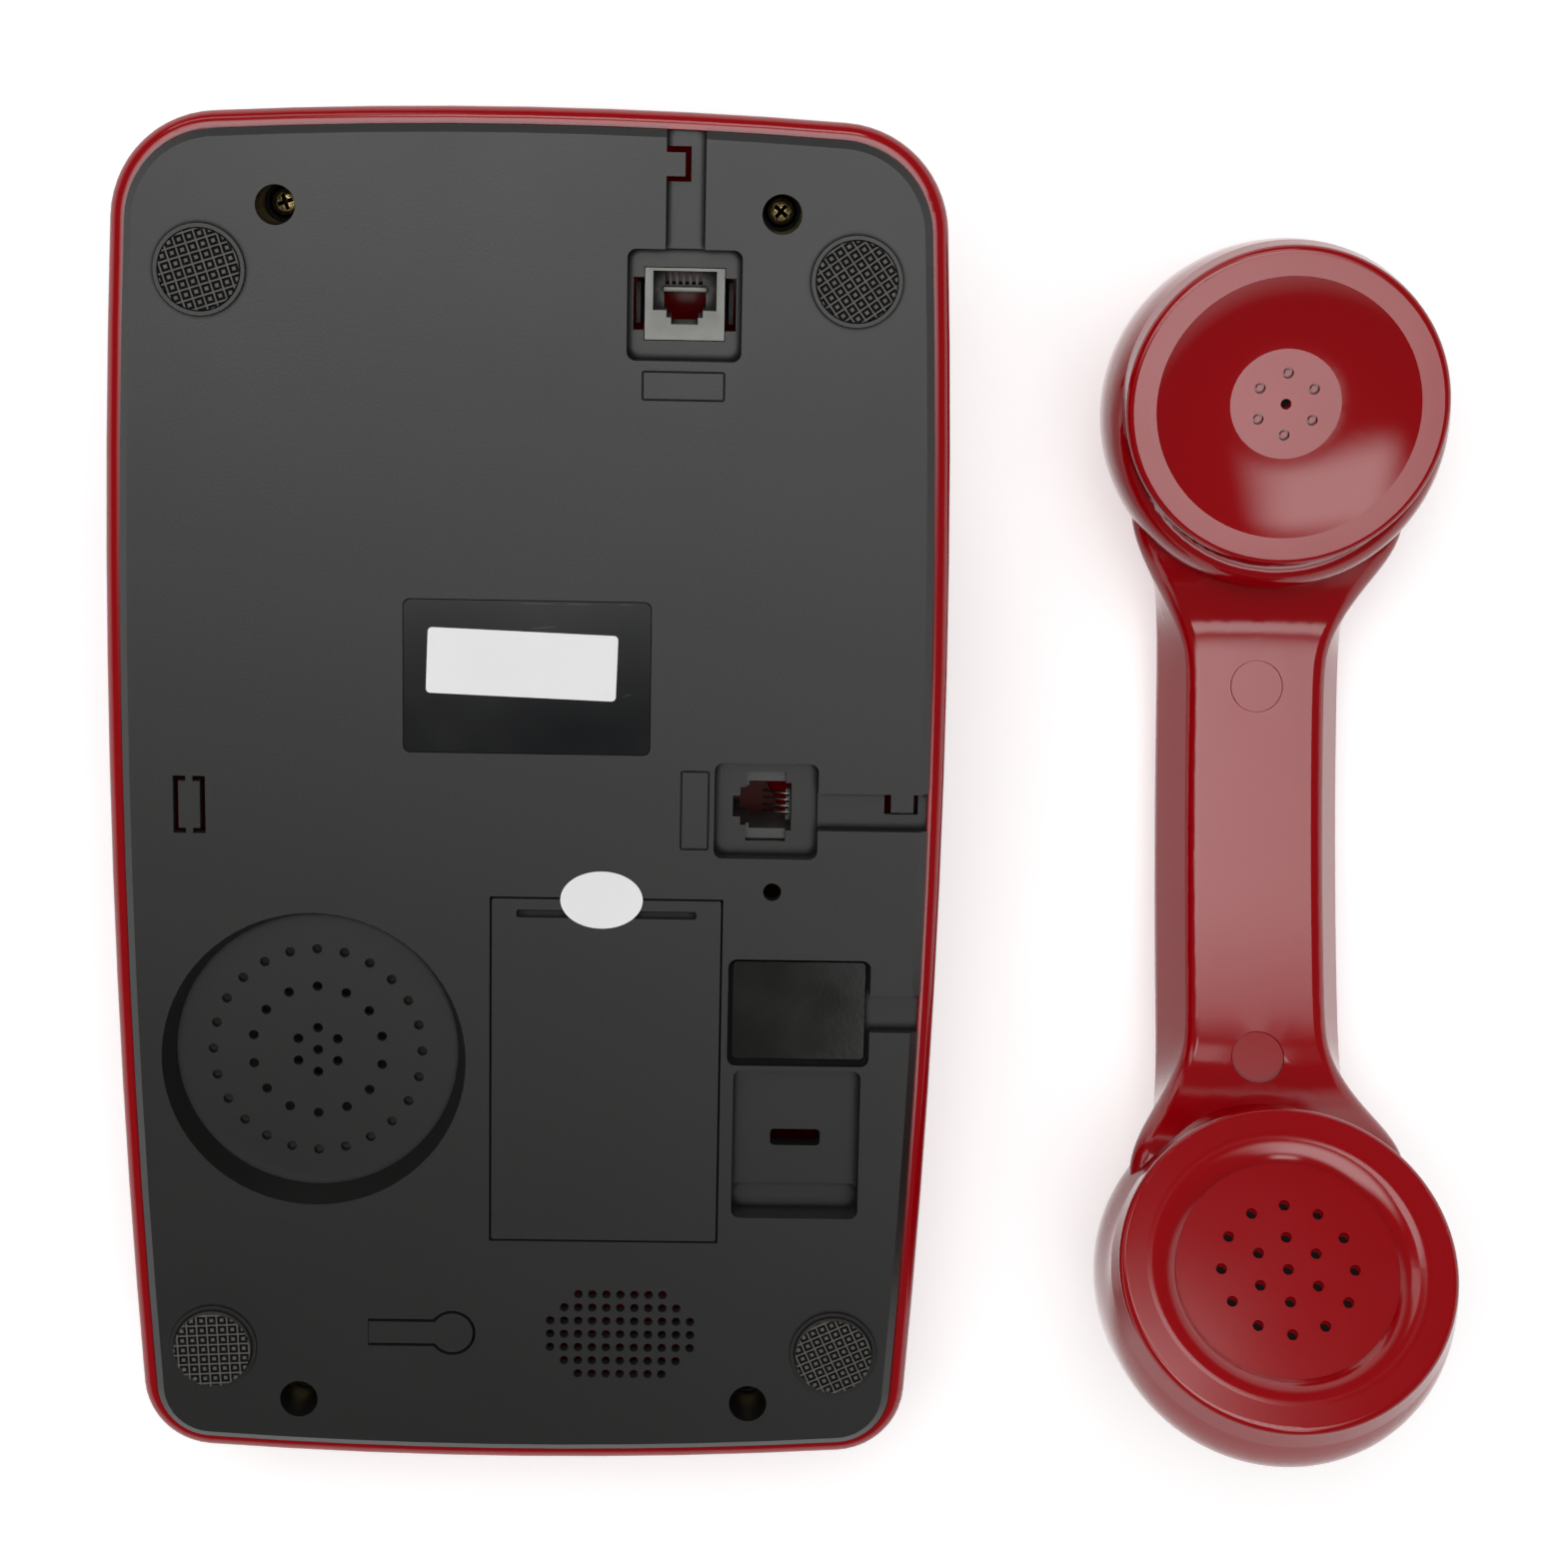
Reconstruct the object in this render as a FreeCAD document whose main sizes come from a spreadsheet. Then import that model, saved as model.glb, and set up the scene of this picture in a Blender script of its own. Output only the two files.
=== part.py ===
import FreeCAD, Part
import math
import os
import Sketcher
from FreeCAD import Placement, Rotation, Vector

# Wall telephone with its handset taken off, in millimetres.
# The base lies face down, propped on its cradle arms, and the handset lies on its back beside it.
#
# Three frames are used. The base frame has its origin in the middle of the back face, +X to the right
# and +Y to the top of the phone when the back is looked at, and +Z out of the back. The front frame is
# the base frame moved to the sloping front face. The handset frame has its origin under the middle of
# the handle, +Y towards the earpiece and +Z towards the open faces of the caps.

DRIVING_SIZES = [
    # outline of the back cover
    ("cover_half_width", 64.1, "half the width at the widest place"),
    ("cover_half_height", 108.0, "half the height along the middle"),
    ("side_radius", 1670.0, "radius of the two bulging sides"),
    ("side_centre", 13.0, "height of the widest place above the middle"),
    ("end_radius", 800.0, "radius of the bulging top and bottom edges"),
    ("top_corner_radius", 14.5, "upper corners"),
    ("bottom_corner_radius", 9.0, "lower corners"),
    ("cover_wall", 2.2, "plate of the back cover"),
    ("skirt_wall", 1.8, "skirt round the back cover"),
    ("skirt_depth", 7.0, "skirt below the back face"),
    ("cover_bevel", 1.2, "sloped edge round the back face"),
    ("fit_gap", 0.15, "gap between pieces that drop into each other"),
    # front shell
    ("rim_width", 2.7, "red rim showing round the cover"),
    ("rim_drop", 2.4, "top of the red rim below the back face"),
    ("rim_round", 2.3, "rounding of the red rim"),
    ("band_depth", 13.0, "upright band of the front shell, below the back face"),
    ("shell_wall", 2.3, "wall of the front shell"),
    ("front_depth", 35.3, "front face below the back face, in the middle"),
    ("front_slope", 3.5, "slope of the front face in degrees, deeper at the bottom"),
    ("front_inset", 6.0, "front face inside the cover outline"),
    ("front_round", 4.0, "rounding round the front face"),
    ("arm_reach", 77.5, "tips of the cradle arms below the back face"),
    ("arm_gap", 30.0, "free width between the cradle arms"),
    ("arm_width", 12.0, "width of one cradle arm"),
    ("arm_shelf", 63.0, "underside of the cradle arms above the middle"),
    ("arm_thickness", 11.0, "thickness of the arm under the handset"),
    ("lip_height", 24.0, "lip at the tip of an arm above its shelf"),
    ("lip_thickness", 8.0, "thickness of the lip"),
    ("arm_round", 3.0, "rounding of the arms"),
    # bores for the case screws
    ("upper_bore_side", 25.2, "upper bores inside the side edges"),
    ("upper_bore_inset", 12.8, "upper bores below the top edge"),
    ("lower_bore_side", 27.05, "lower bores inside the side edges"),
    ("lower_bore_inset", 8.8, "lower bores above the bottom edge"),
    ("bore_radius", 3.1, "bore that leads to a case screw"),
    ("bore_depth", 15.0, "bore with its seat for the screw head"),
    ("seat_radius", 2.7, "seat of a screw head"),
    ("seat_depth", 2.0, "seat of a screw head"),
    ("boss_wall", 1.9, "wall round a bore"),
    ("screw_radius", 1.25, "thread of a case screw"),
    ("screw_head_radius", 2.4, "head of a case screw"),
    ("screw_head_height", 1.8, "head of a case screw"),
    ("screw_length", 12.0, "shank of a case screw"),
    ("thread_gap", 0.05, "free play round a screw"),
    # rubber feet
    ("upper_foot_side", 13.45, "upper feet inside the side edges"),
    ("upper_foot_inset", 22.8, "upper feet below the top edge"),
    ("lower_foot_side", 13.15, "lower feet inside the side edges"),
    ("lower_foot_inset", 17.95, "lower feet above the bottom edge"),
    ("foot_radius", 6.3, "rubber foot"),
    ("foot_ring_width", 0.6, "moulded ring round a foot"),
    ("foot_ring_height", 0.6, "moulded ring above the back face"),
    ("foot_seat", 0.7, "feet let into the cover"),
    ("upper_foot_height", 0.9, "upper feet above the back face"),
    ("lower_foot_height", 2.3, "lower feet above the back face"),
    # recess of the line socket
    ("line_x", 24.05, "line recess from the middle line"),
    ("line_inset", 27.0, "line recess below the top edge"),
    ("line_width", 17.8, "line recess"),
    ("line_height", 17.2, "line recess"),
    ("recess_depth", 4.0, "floor of the socket recesses"),
    ("recess_round", 1.4, "corners of the recesses"),
    ("channel_width", 6.1, "cord channels"),
    ("channel_depth", 3.0, "cord channels"),
    ("tab_reach", 2.9, "tab that holds a cord in its channel"),
    ("tab_width", 3.6, "tab that holds a cord in its channel"),
    ("tab_thickness", 1.2, "tab that holds a cord in its channel"),
    ("tab_slot", 0.9, "slot round a tab"),
    ("line_tab_inset", 5.5, "tab of the line channel below the top edge"),
    # recess of the handset socket
    ("cord_x", 38.2, "handset recess from the middle line"),
    ("cord_rise", 109.2, "handset recess above the bottom edge"),
    ("cord_width", 16.6, "handset recess"),
    ("cord_height", 15.6, "handset recess"),
    ("cord_tab_inset", 4.2, "tab of the handset channel inside the side edge"),
    # sockets
    ("line_socket_width", 12.4, "line socket body"),
    ("line_socket_height", 11.1, "line socket body"),
    ("cord_socket_width", 11.1, "handset socket body, across its opening"),
    ("socket_length", 12.0, "socket bodies, front to back"),
    ("line_opening", 9.8, "width of the line opening"),
    ("cord_opening", 7.8, "width of the handset opening"),
    ("opening_height", 6.8, "both openings"),
    ("latch_width", 6.2, "wide step of the latch opening"),
    ("latch_height", 1.4, "wide step of the latch opening"),
    ("notch_width", 3.4, "narrow step of the latch opening"),
    ("notch_height", 1.2, "narrow step of the latch opening"),
    ("contact_pitch", 1.02, "spacing of the socket contacts"),
    ("contact_width", 0.5, "one socket contact"),
    ("contact_reach", 1.8, "socket contacts into the opening"),
    ("arm_slot", 1.8, "width of the snap arm slots beside a socket"),
    ("snap_arm", 0.7, "snap arms of a socket"),
    ("snap_height", 6.4, "snap arms of a socket"),
    # blank recess, adapter recess and small openings
    ("blank_x", 44.1, "blank recess from the middle line"),
    ("blank_rise", 75.9, "blank recess above the bottom edge"),
    ("blank_width", 23.0, "blank recess"),
    ("blank_height", 17.8, "blank recess"),
    ("blank_plate_gap", 0.8, "margin round the blanking plate"),
    ("blank_plate_thickness", 1.2, "blanking plate"),
    ("adapter_x", 44.05, "adapter recess from the middle line"),
    ("adapter_rise", 53.7, "adapter recess above the bottom edge"),
    ("adapter_width", 20.7, "adapter recess"),
    ("adapter_height", 25.2, "adapter recess"),
    ("adapter_depth", 4.5, "upper floor of the adapter recess"),
    ("adapter_step", 6.5, "lower floor of the adapter recess"),
    ("adapter_step_height", 4.6, "lower floor of the adapter recess"),
    ("plug_slot_width", 8.2, "slot in the adapter recess"),
    ("plug_slot_height", 2.8, "slot in the adapter recess"),
    ("plug_slot_drop", 0.1, "slot below the middle of the adapter recess"),
    ("reset_hole_x", 39.4, "small round hole from the middle line"),
    ("reset_hole_rise", 96.0, "small round hole above the bottom edge"),
    ("reset_hole_radius", 1.45, "small round hole"),
    # label
    ("film_width", 39.2, "glossy film"),
    ("film_height", 24.7, "glossy film"),
    ("film_y", 22.3, "glossy film above the middle"),
    ("film_round", 1.2, "corners of the film"),
    ("film_thickness", 0.3, "glossy film"),
    ("label_width", 30.0, "white label"),
    ("label_height", 10.5, "white label"),
    ("label_x", -0.8, "white label from the middle line"),
    ("label_rise", 2.1, "white label above the middle of the film"),
    ("label_turn", -1.9, "white label, stuck on a little crooked, in degrees"),
    ("label_thickness", 0.12, "white label"),
    # battery door and its well
    ("door_x", 12.9, "battery door from the middle line"),
    ("door_width", 36.7, "battery door"),
    ("door_height", 57.3, "battery door"),
    ("door_rise", 37.0, "battery door above the bottom edge"),
    ("door_thickness", 2.0, "battery door"),
    ("door_gap", 0.35, "line round the door"),
    ("door_seat", 0.1, "gap under the door"),
    ("door_ledge", 1.9, "ledge that carries the door"),
    ("groove_width", 28.9, "finger groove of the door"),
    ("groove_height", 1.3, "finger groove of the door"),
    ("groove_depth", 0.8, "finger groove of the door"),
    ("groove_drop", 2.4, "finger groove below the door's upper edge"),
    ("well_depth", 14.2, "battery well"),
    ("well_wall", 1.5, "walls under the back face"),
    ("cell_radius", 5.25, "battery cell"),
    ("cell_length", 44.5, "battery cell"),
    ("cell_pitch", 10.9, "spacing of the battery cells"),
    ("sticker_length", 13.2, "oval sticker"),
    ("sticker_height", 9.4, "oval sticker"),
    ("sticker_x", 12.1, "oval sticker from the middle line"),
    ("sticker_thickness", 0.1, "oval sticker"),
    # perforated round recess and the loudspeaker behind it
    ("round_x", -34.1, "round recess from the middle line"),
    ("round_rise", 67.0, "round recess above the bottom edge"),
    ("round_radius", 24.5, "round recess at the back face"),
    ("round_floor_radius", 22.9, "round recess at its floor"),
    ("round_depth", 6.0, "round recess"),
    ("outer_ring", 17.0, "outer ring of sound holes"),
    ("middle_ring", 10.7, "middle ring of sound holes"),
    ("inner_ring", 3.7, "inner ring of sound holes"),
    ("sound_hole", 0.8, "radius of a sound hole"),
    ("speaker_radius", 22.3, "loudspeaker basket"),
    ("speaker_depth", 9.0, "loudspeaker basket"),
    ("magnet_radius", 11.0, "loudspeaker magnet"),
    ("magnet_height", 5.0, "loudspeaker magnet"),
    # sound grille
    ("grille_x", 15.8, "sound grille from the middle line"),
    ("grille_rise", 20.7, "sound grille above the bottom edge"),
    ("grille_pitch", 2.3, "spacing of the grille holes"),
    ("grille_hole", 0.72, "radius of a grille hole"),
    # press tongue
    ("tongue_rise", 20.6, "press tongue above the bottom edge"),
    ("tongue_root", -25.6, "root of the tongue from the middle line"),
    ("tongue_tip", -11.8, "middle of its round pad from the middle line"),
    ("tongue_pad", 3.35, "radius of its round pad"),
    ("tongue_width", 3.7, "width of its arm"),
    ("tongue_thickness", 1.4, "tongue"),
    ("tongue_slit", 0.5, "slit round the tongue"),
    # knock-out of the ringer switch
    ("knockout_side", 10.6, "knock-out inside the side edge"),
    ("knockout_rise", 108.95, "knock-out above the bottom edge"),
    ("knockout_width", 5.1, "knock-out"),
    ("knockout_height", 9.3, "knock-out"),
    ("knockout_slit", 0.85, "slits of the knock-out"),
    ("knockout_bridge", 1.1, "bridges of the knock-out"),
    # engraved frames beside the sockets
    ("frame_long", 13.0, "engraved frame"),
    ("frame_short", 4.7, "engraved frame"),
    ("frame_line", 0.35, "engraved line"),
    ("engraving", 0.25, "depth of the engraving"),
    ("line_frame_drop", 12.4, "frame below the middle of the line recess"),
    ("cord_frame_side", 11.4, "frame beside the middle of the handset recess"),
    # circuit board
    ("board_left", -52.0, "left edge of the circuit board"),
    ("board_right", 12.0, "right edge of the circuit board"),
    ("board_low", 8.0, "lower edge of the circuit board"),
    ("board_high", 50.0, "upper edge of the circuit board"),
    ("board_depth", 9.0, "circuit board below the back face"),
    ("board_thickness", 1.6, "circuit boards"),
    ("post_radius", 2.4, "moulded posts"),
    ("post_edge", 4.0, "posts from the board's edges"),
    # dial with its keys, in the front frame
    ("dial_y", -20.0, "middle of the dial, above the middle of the front"),
    ("dial_radius", 46.0, "dial plate"),
    ("dial_thickness", 1.0, "dial plate"),
    ("key_ring", 32.0, "circle of the twelve keys"),
    ("key_radius", 6.2, "dial key"),
    ("key_gap", 0.4, "gap round a key"),
    ("key_stand", 3.2, "key above the dial plate"),
    ("key_dome", 1.0, "crown of a key"),
    ("key_flange", 1.1, "flange that keeps a key in"),
    ("key_travel", 1.5, "travel of a key"),
    ("flange_gap", 0.1, "flange below the front wall"),
    ("flange_thickness", 1.0, "flange of a key"),
    ("mat_gap", 0.2, "key mat beyond a pressed key"),
    ("mat_thickness", 1.2, "key mat"),
    ("mat_radius", 40.5, "key mat"),
    ("key_board_radius", 44.0, "key board"),
    ("card_radius", 17.0, "card in the middle of the dial"),
    ("card_thickness", 0.3, "card in the middle of the dial"),
    ("window_thickness", 1.2, "clear window over the card"),
    ("function_key_x", 17.0, "function keys from the middle line"),
    ("function_key_y", -79.0, "function keys, above the middle of the front"),
    ("function_key_width", 16.0, "function key"),
    ("function_key_height", 7.0, "function key"),
    # hook
    ("pivot_y", 66.0, "hook pivot above the middle"),
    ("pivot_depth", 14.0, "hook pivot below the back face"),
    ("pin_radius", 1.5, "hook pin"),
    ("pin_gap", 0.06, "running clearance on the hook pin"),
    ("hub_radius", 4.2, "hub of the hook lever"),
    ("lever_width", 11.0, "hook lever"),
    ("lever_thickness", 6.0, "hook lever"),
    ("lever_rise", 16.0, "top of the lever above the arms' underside"),
    ("lever_reach", 66.0, "tip of the lever below the back face"),
    ("hook_swing", 8.0, "swing of the lever in degrees"),
    ("lever_gap", 1.0, "slot round the lever"),
    ("bracket_width", 3.0, "brackets of the hook pin"),
    ("spring_width", 3.4, "hook spring along its pin"),
    ("spring_wall", 1.2, "hook spring across its wire"),
    # handset
    ("face_spread", 69.8, "middle of each cap face from the middle of the handset"),
    ("face_height", 54.0, "middle of each cap face above the back of the handle"),
    ("ear_tilt", 23.5, "tilt of the ear cap towards the mouth cap in degrees"),
    ("mouth_tilt", 20.6, "tilt of the mouth cap towards the ear cap in degrees"),
    ("cap_height", 5.0, "caps above their seam"),
    ("cap_round", 1.2, "rounding of the caps' rims"),
    ("ear_face_radius", 26.8, "ear cap at its face"),
    ("ear_seam_radius", 27.0, "ear cap at its seam"),
    ("mouth_face_radius", 27.4, "mouth cap at its face"),
    ("mouth_seam_radius", 28.2, "mouth cap at its seam"),
    ("ear_bowl_radius", 29.2, "earpiece at its widest"),
    ("mouth_bowl_radius", 29.1, "mouthpiece at its widest"),
    ("back_radius", 258.0, "curve of the handle's back"),
    ("handle_width", 32.6, "handle at its widest"),
    ("handle_inner_width", 22.5, "flat inner face of the handle"),
    ("handle_back_width", 19.0, "back of the handle"),
    ("handle_thickness", 20.0, "handle"),
    ("handle_seam", 9.0, "seam of the handle above its back"),
    ("handle_round", 2.5, "rounding of the handle's long edges"),
    ("handset_wall", 2.2, "walls of the handset"),
    ("plug_radius", 4.4, "screw plugs"),
    ("plug_thickness", 1.3, "screw plugs"),
    ("post_wall", 1.2, "walls of the screw posts round the plugs"),
    ("ear_plug_y", 27.8, "plug on the earpiece side"),
    ("mouth_plug_y", -36.1, "plug on the mouthpiece side"),
    ("cap_wall", 1.8, "walls of the caps"),
    ("ear_dish_radius", 21.9, "dish of the ear cap"),
    ("ear_dish_depth", 3.6, "dish of the ear cap"),
    ("ear_dish_curve", 34.0, "curve of the ear cap's dish"),
    ("ear_disc_radius", 9.25, "flat middle of the ear cap"),
    ("ear_hole_ring", 5.2, "ring of dimples in the ear cap"),
    ("dimple_radius", 0.95, "dimples in the ear cap"),
    ("dimple_depth", 0.8, "dimples in the ear cap"),
    ("dimple_pin_radius", 0.5, "pin in the middle of a dimple"),
    ("mouth_crest_radius", 23.0, "crest inside the mouth cap's flat rim"),
    ("mouth_crest_curve", 6.0, "curve of the mouth cap's crest"),
    ("mouth_disc_radius", 18.1, "flat middle of the mouth cap"),
    ("mouth_disc_depth", 1.7, "flat middle of the mouth cap"),
    ("mouth_outer_ring", 10.8, "outer ring of holes in the mouth cap"),
    ("mouth_inner_ring", 5.4, "inner ring of holes in the mouth cap"),
    ("cap_hole", 0.9, "radius of the holes in the caps"),
    ("socket_set_back", 0.9, "handset socket behind the narrowest part of its wall"),
    ("weight_width", 13.0, "ballast weight in the handle"),
    ("weight_height", 5.5, "ballast weight in the handle"),
    ("receiver_radius", 23.6, "receiver capsule"),
    ("receiver_height", 8.0, "receiver capsule"),
    ("microphone_radius", 12.0, "microphone capsule"),
    ("microphone_height", 7.0, "microphone capsule"),
    ("capsule_gap", 0.3, "gap over the capsules"),
    # how the two halves lie
    ("handset_x", 123.4, "handset to the right of the base"),
    ("handset_y", -5.3, "handset above the middle of the base"),
    ("handset_pitch", 4.7, "handset lies lower at its earpiece, in degrees"),
]
KEY_NAMES = ["key_1", "key_2", "key_3", "key_4", "key_5", "key_6",
             "key_7", "key_8", "key_9", "key_star", "key_0", "key_hash"]
GRILLE_ROWS = [7, 9, 11, 11, 11, 9, 7]
OUTER_HOLES = 24
MIDDLE_HOLES = 14
INNER_HOLES = 6
OVERSHOOT = 1.0
DEEP = 120.0
ANGLE_TOLERANCE = 1e-6

doc = FreeCAD.newDocument("wall_phone")
sheet = doc.addObject("Spreadsheet::Sheet", "sizes")


class Length:
    """A number together with the spreadsheet formula that gives it."""

    def __init__(self, value, formula):
        self.value = float(value)
        self.formula = formula

    def __add__(self, other):
        return Length(self.value + number(other), f"({self.formula} + {formula(other)})")

    def __radd__(self, other):
        return Length(number(other) + self.value, f"({formula(other)} + {self.formula})")

    def __sub__(self, other):
        return Length(self.value - number(other), f"({self.formula} - {formula(other)})")

    def __rsub__(self, other):
        return Length(number(other) - self.value, f"({formula(other)} - {self.formula})")

    def __mul__(self, other):
        return Length(self.value * number(other), f"({self.formula} * {formula(other)})")

    def __rmul__(self, other):
        return Length(number(other) * self.value, f"({formula(other)} * {self.formula})")

    def __truediv__(self, other):
        return Length(self.value / number(other), f"({self.formula} / {formula(other)})")

    def __neg__(self):
        return Length(-self.value, f"(0 - {self.formula})")


def number(size):
    """The plain number of a size."""
    return size.value if isinstance(size, Length) else float(size)


def formula(size):
    """The spreadsheet formula of a size."""
    return size.formula if isinstance(size, Length) else format(float(size), ".9g")


class Sizes:
    """The driving sizes by name."""

    def __init__(self, rows):
        for row, (alias, value, meaning) in enumerate(rows, start=1):
            sheet.set(f"A{row}", meaning)
            sheet.set(f"B{row}", str(value))
            sheet.setAlias(f"B{row}", alias)
            setattr(self, alias, Length(value, f"sizes.{alias}"))


def measure_from_edges(sizes):
    """Places on the back face, each at its distance from the edge or the feature that it belongs to."""
    top = sizes.cover_half_height
    bottom = -sizes.cover_half_height
    side = sizes.cover_half_width
    sizes.upper_bore_x = side - sizes.upper_bore_side
    sizes.upper_bore_y = top - sizes.upper_bore_inset
    sizes.lower_bore_x = side - sizes.lower_bore_side
    sizes.lower_bore_y = bottom + sizes.lower_bore_inset
    sizes.upper_foot_x = side - sizes.upper_foot_side
    sizes.upper_foot_y = top - sizes.upper_foot_inset
    sizes.lower_foot_x = side - sizes.lower_foot_side
    sizes.lower_foot_y = bottom + sizes.lower_foot_inset
    sizes.line_y = top - sizes.line_inset
    sizes.line_tab_y = top - sizes.line_tab_inset
    sizes.line_frame_y = sizes.line_y - sizes.line_frame_drop
    sizes.cord_y = bottom + sizes.cord_rise
    sizes.cord_tab_x = side - sizes.cord_tab_inset
    sizes.cord_frame_x = sizes.cord_x - sizes.cord_frame_side
    sizes.blank_y = bottom + sizes.blank_rise
    sizes.adapter_y = bottom + sizes.adapter_rise
    sizes.plug_slot_y = sizes.adapter_y - sizes.plug_slot_drop
    sizes.reset_hole_y = bottom + sizes.reset_hole_rise
    sizes.label_y = sizes.film_y + sizes.label_rise
    sizes.door_bottom = bottom + sizes.door_rise
    sizes.door_top = sizes.door_bottom + sizes.door_height
    sizes.round_y = bottom + sizes.round_rise
    sizes.grille_y = bottom + sizes.grille_rise
    sizes.tongue_y = bottom + sizes.tongue_rise
    sizes.knockout_x = sizes.knockout_side - side
    sizes.knockout_y = bottom + sizes.knockout_rise


S = Sizes(DRIVING_SIZES)
measure_from_edges(S)
doc.recompute()

nodes = []


def bind(item, prop, size):
    """Tie a property of an object to a size."""
    if isinstance(size, Length):
        item.setExpression(prop, size.formula)


def place(item, x, y, z, rotation=Rotation()):
    """Put an object at a place that follows the sizes."""
    item.Placement = Placement(Vector(number(x), number(y), number(z)), rotation)
    bind(item, "Placement.Base.x", x)
    bind(item, "Placement.Base.y", y)
    bind(item, "Placement.Base.z", z)
    return item


def block(x, y, z):
    """A box between a low and a high value along each axis."""
    item = doc.addObject("Part::Box", "Block")
    for prop, (low, high) in (("Length", x), ("Width", y), ("Height", z)):
        setattr(item, prop, number(high) - number(low))
        bind(item, prop, high - low if isinstance(high, Length) or isinstance(low, Length) else None)
    return place(item, x[0], y[0], z[0])


def centred(middle, width):
    """Low and high value of a stretch given by its middle and its width."""
    return (middle - width / 2, middle + width / 2)


def rod(x, y, z, radius):
    """An upright cylinder between two heights."""
    item = doc.addObject("Part::Cylinder", "Rod")
    item.Radius = number(radius)
    item.Height = number(z[1]) - number(z[0])
    bind(item, "Radius", radius)
    bind(item, "Height", z[1] - z[0] if isinstance(z[1], Length) or isinstance(z[0], Length) else None)
    return place(item, x, y, z[0])


def cross_rod(x, y, z, radius):
    """A cylinder along X between two values of x."""
    item = doc.addObject("Part::Cylinder", "CrossRod")
    item.Radius = number(radius)
    item.Height = number(x[1]) - number(x[0])
    bind(item, "Radius", radius)
    bind(item, "Height", x[1] - x[0] if isinstance(x[1], Length) or isinstance(x[0], Length) else None)
    return place(item, x[0], y, z, Rotation(Vector(0, 1, 0), 90))


def frustum(x, y, z, low_radius, high_radius):
    """An upright cone frustum between two heights."""
    item = doc.addObject("Part::Cone", "Frustum")
    item.Radius1 = number(low_radius)
    item.Radius2 = number(high_radius)
    item.Height = number(z[1]) - number(z[0])
    bind(item, "Radius1", low_radius)
    bind(item, "Radius2", high_radius)
    bind(item, "Height", z[1] - z[0] if isinstance(z[1], Length) or isinstance(z[0], Length) else None)
    return place(item, x, y, z[0])


def fuse(items):
    """One solid from several that overlap."""
    item = doc.addObject("Part::MultiFuse", "Fuse")
    item.Shapes = items
    item.Refine = True
    return item


def common(first, second):
    """What two solids share."""
    item = doc.addObject("Part::MultiCommon", "Common")
    item.Shapes = [first, second]
    return item


def gather(items):
    """Several solids kept apart in one object."""
    item = doc.addObject("Part::Compound", "Group")
    item.Links = items
    return item


def cut(base, tools):
    """A solid with others taken away from it."""
    item = doc.addObject("Part::Cut", "Cut")
    item.Base = base
    item.Tool = tools[0] if len(tools) == 1 else gather(tools)
    return item


def round_edges(item, radius, wanted):
    """Fillet the edges of an object that a test picks."""
    doc.recompute()
    edges = [index for index, edge in enumerate(item.Shape.Edges, start=1) if wanted(edge)]
    fillet = doc.addObject("Part::Fillet", "Fillet")
    fillet.Base = item
    fillet.Edges = [(index, number(radius), number(radius)) for index in edges]
    return fillet


def is_upright(edge):
    """Whether an edge is straight and runs along Z."""
    if not isinstance(edge.Curve, Part.Line) and not isinstance(edge.Curve, Part.LineSegment):
        return False
    return abs(abs(edge.tangentAt(edge.FirstParameter).z) - 1.0) < ANGLE_TOLERANCE


def rounded_block(x, y, z, radius):
    """A box with rounded upright edges."""
    return round_edges(block(x, y, z), radius, is_upright)


def moved(item, placement):
    """A copy of an object's shape in a group that is moved as a whole."""
    group = gather([item])
    group.Placement = placement
    return group


def new_body(name):
    """An empty body."""
    return doc.addObject("PartDesign::Body", name)


def origin_plane(body, role):
    """One of the planes of a body's own origin."""
    return next(item for item in body.Origin.OriginFeatures if item.Role == role)


def new_sketch(body, role="XY_Plane", offset=Placement(), height=None):
    """A sketch on one of the body's own planes, lifted by a height that follows the sizes."""
    sketch = body.newObject("Sketcher::SketchObject", "Sketch")
    sketch.AttachmentSupport = [(origin_plane(body, role), "")]
    sketch.MapMode = "FlatFace"
    sketch.AttachmentOffset = offset
    if height is not None:
        sketch.AttachmentOffset = Placement(Vector(0, 0, number(height)), offset.Rotation)
        bind(sketch, "AttachmentOffset.Base.z", height)
    return sketch


def fix(sketch, kind, *parts):
    """Add a dimension to a sketch and tie it to its size, which comes last."""
    size = parts[-1]
    index = sketch.addConstraint(Sketcher.Constraint(kind, *parts[:-1], number(size)))
    bind(sketch, f"Constraints[{index}]", size)


def draw_circle(sketch, x, y, radius):
    """A circle whose place and radius follow the sizes."""
    circle = Part.Circle(Vector(number(x), number(y), 0), Vector(0, 0, 1), number(radius))
    index = sketch.addGeometry(circle, False)
    fix(sketch, "Radius", index, radius)
    fix(sketch, "DistanceX", -1, 1, index, 3, x)
    fix(sketch, "DistanceY", -1, 1, index, 3, y)


def arc_between(start, end, radius):
    """The short arc from start to end, counter-clockwise, or clockwise with a negative radius."""
    if radius < 0:
        start, end, radius = end, start, -radius
    chord = end - start
    half = chord.Length / 2
    across = Vector(-chord.y, chord.x, 0).normalize()
    centre = start + chord * 0.5 + across * math.sqrt(max(radius * radius - half * half, 0.0))
    first = math.atan2(start.y - centre.y, start.x - centre.x)
    last = math.atan2(end.y - centre.y, end.x - centre.x)
    if last < first:
        last += 2 * math.pi
    return Part.ArcOfCircle(Part.Circle(centre, Vector(0, 0, 1), radius), first, last)


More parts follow.
